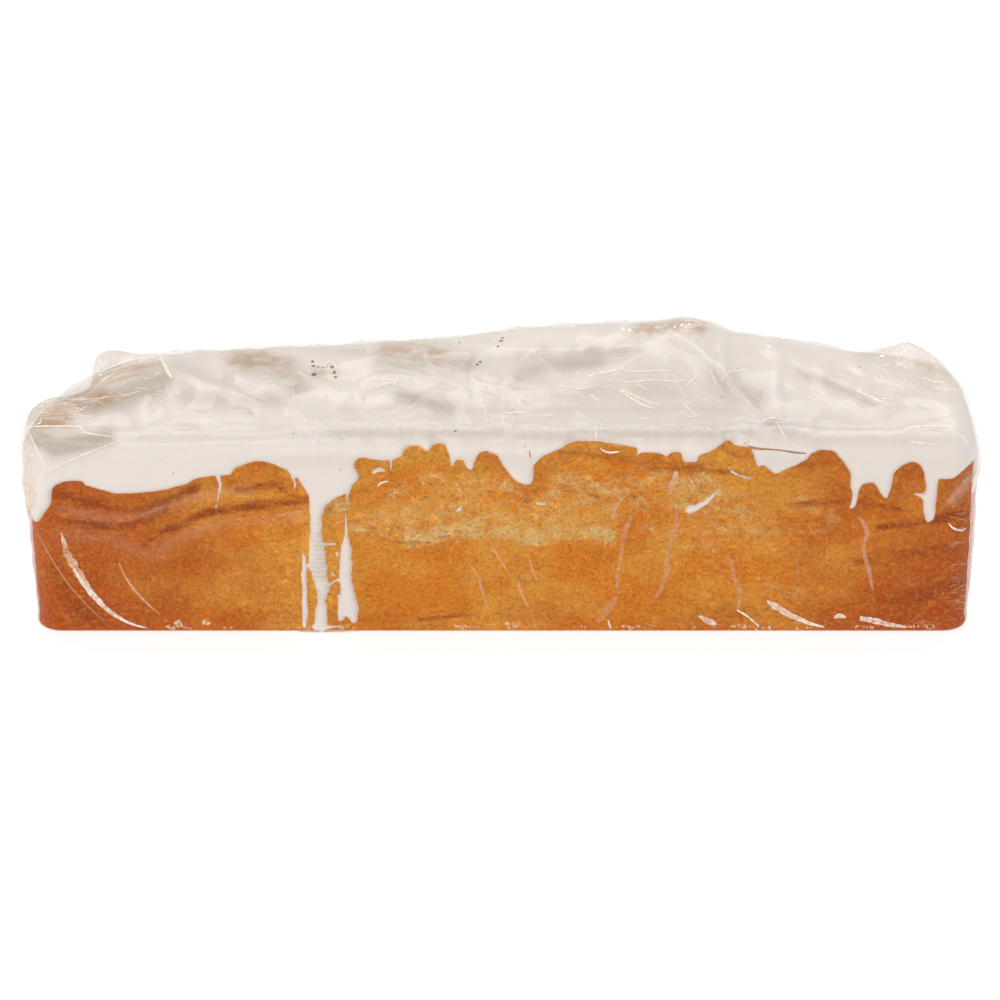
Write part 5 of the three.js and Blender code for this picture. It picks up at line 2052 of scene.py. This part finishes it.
def icing_seam_shadow() -> Ribbons:
    """Painted shadow: a dark ribbon in the gap over the slipped flake of icing, and in a nick in the icing's
    edge.
    """
    finish = BitFinish("icing_shade", linear_colour("a8704a"), linear_colour("c09070"))
    gap = (
        (748, 446.4, 0.6), (756, 448.4, 1.3), (767, 449.3, 0.9), (780, 450.2, 0.7), (795, 452.5, 1.0),
        (806, 453.4, 0.5),
    )
    nick = ((529, 451, 0.3), (530, 454, 0.7), (530.5, 458, 0.3))
    return Ribbons("icing_seam_shadow", "icing", finish, each(Fold, (gap, 0.9), (nick, 0.9)), rise=0.08)


# ---- Bits on the icing ----


@dataclass
class Bits:
    """Small rough lumps that lie on a piece, such as crumbs or flecks of peel.

    Args:
        name: Name of the piece.
        slot: Passed on to make_piece, which does not use it.
        finish: What dresses it.
        placed: Across, down and half size in millimetres, in the front view's frame.
        scattered: How many more lie anywhere on the crown.
        half: Range of the scattered ones' half sizes.
        stretch: How much longer than wide each is.
        seed: Seed of the draw.
        sink: How deep each lies in the piece, as a share of its half size.
        table: Lowest height of a point.
        crown: Half length and half width of the crown that takes scattered ones.
        above: Height from which places for them are looked up.
        flatness: How flat each is, 1 for a ball.
        roughness: How uneven each is.
    """

    RINGS = 4
    SIDES = 8

    name: str
    slot: str
    finish: Finish
    placed: tuple[Stop, ...]
    scattered: int
    half: Place
    stretch: float
    seed: int
    sink: float = 0.3
    table: float = 0.05
    crown: Place = (165.0, 40.0)
    above: float = 200.0
    flatness: float = 0.6
    roughness: float = 0.35

    def lump(
        self, at: Array, out: Array, half: float, rng: Draw,
    ) -> tuple[Array, list[list[int]]]:
        """One lump: a ball of a few rings, stretched, squashed and roughened."""
        along = np.cross(out, rng.normal(size=3))
        along /= np.linalg.norm(along)
        across = np.cross(out, along)
        pole = self.flatness * out
        points = [-pole]
        for i, j in itertools.product(range(1, self.RINGS), range(self.SIDES)):
            tilt, turn = math.pi * i / self.RINGS, 2 * math.pi * j / self.SIDES
            size = 1 + self.roughness * rng.uniform(-1, 1)
            flat = math.sin(tilt) * (self.stretch * math.cos(turn) * along + math.sin(turn) * across)
            points.append(size * flat - math.cos(tilt) * pole)
        points.append(pole)
        sides = [(j, (j + 1) % self.SIDES) for j in range(self.SIDES)]
        top = len(points) - 1
        last = top - self.SIDES
        faces = [[0, 1 + b, 1 + a] for a, b in sides]
        faces += ring_faces(1, self.RINGS - 1, self.SIDES)
        faces += [[last + a, last + b, top] for a, b in sides]
        return at + half * np.array(points) - self.sink * half * out, faces

    def build(self, bed: Piece) -> Piece:
        """Makes the bits on a piece."""
        rng = np.random.default_rng(self.seed)
        sight = Sight(bed)
        spots = [(*found, half) for x, y, half in self.placed if (found := sight.find((x, y)))]
        down = Vector((0.0, 0.0, -1.0))
        for _ in range(self.scattered):
            x, y = (rng.uniform(-reach, reach) for reach in self.crown)
            point, normal, _, _ = sight.tree.ray_cast(Vector((x, y, self.above)), down)
            out = np.array(normal) * (1 if normal.z > 0 else -1)
            spots.append((np.array(point), out, rng.uniform(*self.half)))
        points, faces = [], []
        for at, out, half in spots:
            more, shapes = self.lump(at, out, half, rng)
            faces += [[k + len(points) for k in shape] for shape in shapes]
            points.extend(more)
        places = np.array(points)
        places[:, 2] = np.maximum(places[:, 2], self.table)
        return make_piece(self.name, self.slot, places, faces, self.finish)


def crumbs() -> Bits:
    """Browned crumbs that the icing picked up."""
    finish = BitFinish("toasted_crumb", linear_colour("6e3a16"), linear_colour("b07440"))
    placed = (
        (312.5, 361.5, 0.9), (313.5, 366, 0.75), (314, 374.5, 1.15), (318, 367, 0.5), (323, 367.6, 0.4),
        (327, 366.6, 0.4), (332, 367, 0.95), (334.5, 372.5, 1.0), (335.5, 377, 0.7), (477.5, 364.5, 0.6),
        (480, 362, 0.6), (498, 346.5, 0.75), (501, 341, 0.8), (502.5, 338, 0.7), (459.5, 343, 0.5),
        (455, 431, 0.6), (30, 413, 0.9), (34, 417, 0.6), (92, 398, 0.4), (101, 395, 0.5), (106, 401, 0.35),
        (97, 386, 0.4), (525, 447, 0.3),
    )
    return Bits("icing_crumbs", "sponge", finish, placed, 10, (0.2, 0.5), 1.2, 41)


def base_crumbs() -> Bits:
    """Ragged pale crumb and icing along the foot of the front."""
    finish = BitFinish("pale_crumb", linear_colour("d99a4c"), linear_colour("f4e2c8"))
    rng = np.random.default_rng(44)
    placed = []
    for x in np.arange(160.0, 950.0, 3.1):
        if math.sin(x / 23.0) + math.sin(x / 9.1 + 1.0) + rng.uniform(-0.8, 0.8) > 0.55:
            placed.append((x + rng.uniform(-1.5, 1.5), rng.uniform(626.0, 628.6), rng.uniform(0.25, 0.62)))
    placed += [
        (177, 622, 1.1), (181, 624, 0.8), (204, 622, 0.9), (208, 623.5, 0.7), (508, 623, 1.0),
        (514, 624.5, 1.0),
    ]
    return Bits("base_crumbs", "sponge", finish, tuple(placed), 0, (0.3, 0.5), 1.9, 43)


def zest() -> Bits:
    """Flecks of lemon zest in the icing."""
    finish = BitFinish("lemon_zest", linear_colour("e0b04a"), linear_colour("f0cf80"))
    placed = (
        (249, 412.5, 0.65), (252, 413.5, 0.45), (293, 434, 0.4), (318, 441, 0.45), (173, 474, 0.4),
        (364, 399, 0.4), (340, 470, 0.5), (770, 398, 0.4), (951, 400, 0.4), (745, 443, 0.45),
        (722, 398, 0.55), (526, 402, 0.4), (141, 437, 0.4), (161, 460, 0.3), (748, 441, 0.4),
        (430, 476, 0.3),
    )
    return Bits("zest_flecks", "icing", finish, placed, 34, (0.25, 0.45), 1.5, 42)


# ---- Studio ----


@dataclass(frozen=True)
class SoftBox:
    """One soft light.

    Args:
        name: Name of the light.
        at: Place in metres.
        size: Width and height in metres.
        power: Watts.
        colour: Its tint.
    """

    name: str
    at: tuple[float, float, float]
    size: tuple[float, float]
    power: float
    colour: tuple[float, float, float] = (1.0, 1.0, 1.0)

    def place(self, aim: Vector) -> None:
        """Hangs the light and turns it to the loaf."""
        data = bpy.data.lights.new(self.name, "AREA")
        data.shape = "RECTANGLE"
        data.size, data.size_y = self.size
        data.energy = self.power
        data.color = self.colour
        light = bpy.data.objects.new(self.name, data)
        light.location = self.at
        light.rotation_euler = (aim - Vector(self.at)).to_track_quat("-Z", "Y").to_euler()
        bpy.context.scene.collection.objects.link(light)


@dataclass(frozen=True)
class Studio:
    """Pale floor, white surroundings and soft lights.

    Args:
        aim: Place in metres that the lights are turned to.
        floor_side: Side of the square floor in metres.
        sky: How bright the surroundings are as a light.
        boxes: The lights.
    """

    aim: tuple[float, float, float] = (0.0, 0.0, 0.05)
    floor_side: float = 12.0
    sky: float = 0.57
    boxes: tuple[SoftBox, ...] = each(
        SoftBox,
        ("front_box", (-0.7, -1.7, 1.2), (1.2, 0.7), 11.0),
        ("top_box", (0.2, 0.5, 1.5), (1.3, 0.5), 6.5),
        ("left_box", (-1.5, -0.2, 0.7), (0.3, 0.9), 3.5),
        ("right_box", (1.5, -0.2, 0.8), (0.3, 0.9), 3.5),
        ("warm_lamp", (0.2, 1.0, 1.0), (0.07, 0.07), 1.6, (1.0, 0.84, 0.6)),
        ("side_lamp", (-0.9, 0.7, 0.9), (0.07, 0.07), 1.2, (1.0, 0.93, 0.82)),
    )

    def hang_sky(self) -> None:
        """Makes surroundings that light the loaf softly and look plain white to the camera."""
        world = bpy.data.worlds.new("studio_sky")
        world.use_nodes = True
        nodes, links = world.node_tree.nodes, world.node_tree.links
        nodes.clear()
        output = nodes.new("ShaderNodeOutputWorld")
        mixed, path = nodes.new("ShaderNodeMixShader"), nodes.new("ShaderNodeLightPath")
        links.new(path.outputs["Is Camera Ray"], mixed.inputs[0])
        for k, strength in ((1, self.sky), (2, 1.0)):
            plain = nodes.new("ShaderNodeBackground")
            plain.inputs["Strength"].default_value = strength
            plain.inputs["Color"].default_value = WHITE
            links.new(plain.outputs[0], mixed.inputs[k])
        links.new(mixed.outputs[0], output.inputs["Surface"])
        bpy.context.scene.world = world

    def build(self) -> None:
        """Sets the studio up."""
        bpy.context.scene.view_settings.view_transform = "Standard"
        self.hang_sky()
        half = self.floor_side / 2
        mesh = bpy.data.meshes.new("studio_floor")
        corners = [(-half, -half, 0), (half, -half, 0), (half, half, 0), (-half, half, 0)]
        mesh.from_pydata(corners, [], [(0, 1, 2, 3)])
        mesh.materials.append(FloorFinish().material())
        floor = bpy.data.objects.new("studio_floor", mesh)
        bpy.context.scene.collection.objects.link(floor)
        for box in self.boxes:
            box.place(Vector(self.aim))


def main() -> None:
    """Builds the loaf and its studio."""
    logging.basicConfig(level=logging.INFO, format="%(name)s %(message)s")
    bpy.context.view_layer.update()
    VIEW.place_camera()
    sponge = Sponge().build()
    icing = Icing().build()
    film = Film().build()
    EndSeals().build()
    for folds in (film_folds_and_glints(), *far_folds()):
        folds.build(film)
    icing_seam_shadow().build(icing)
    crumbs().build(icing)
    base_crumbs().build(sponge)
    zest().build(icing)
    Studio().build()


if __name__ == "__main__":
    main()
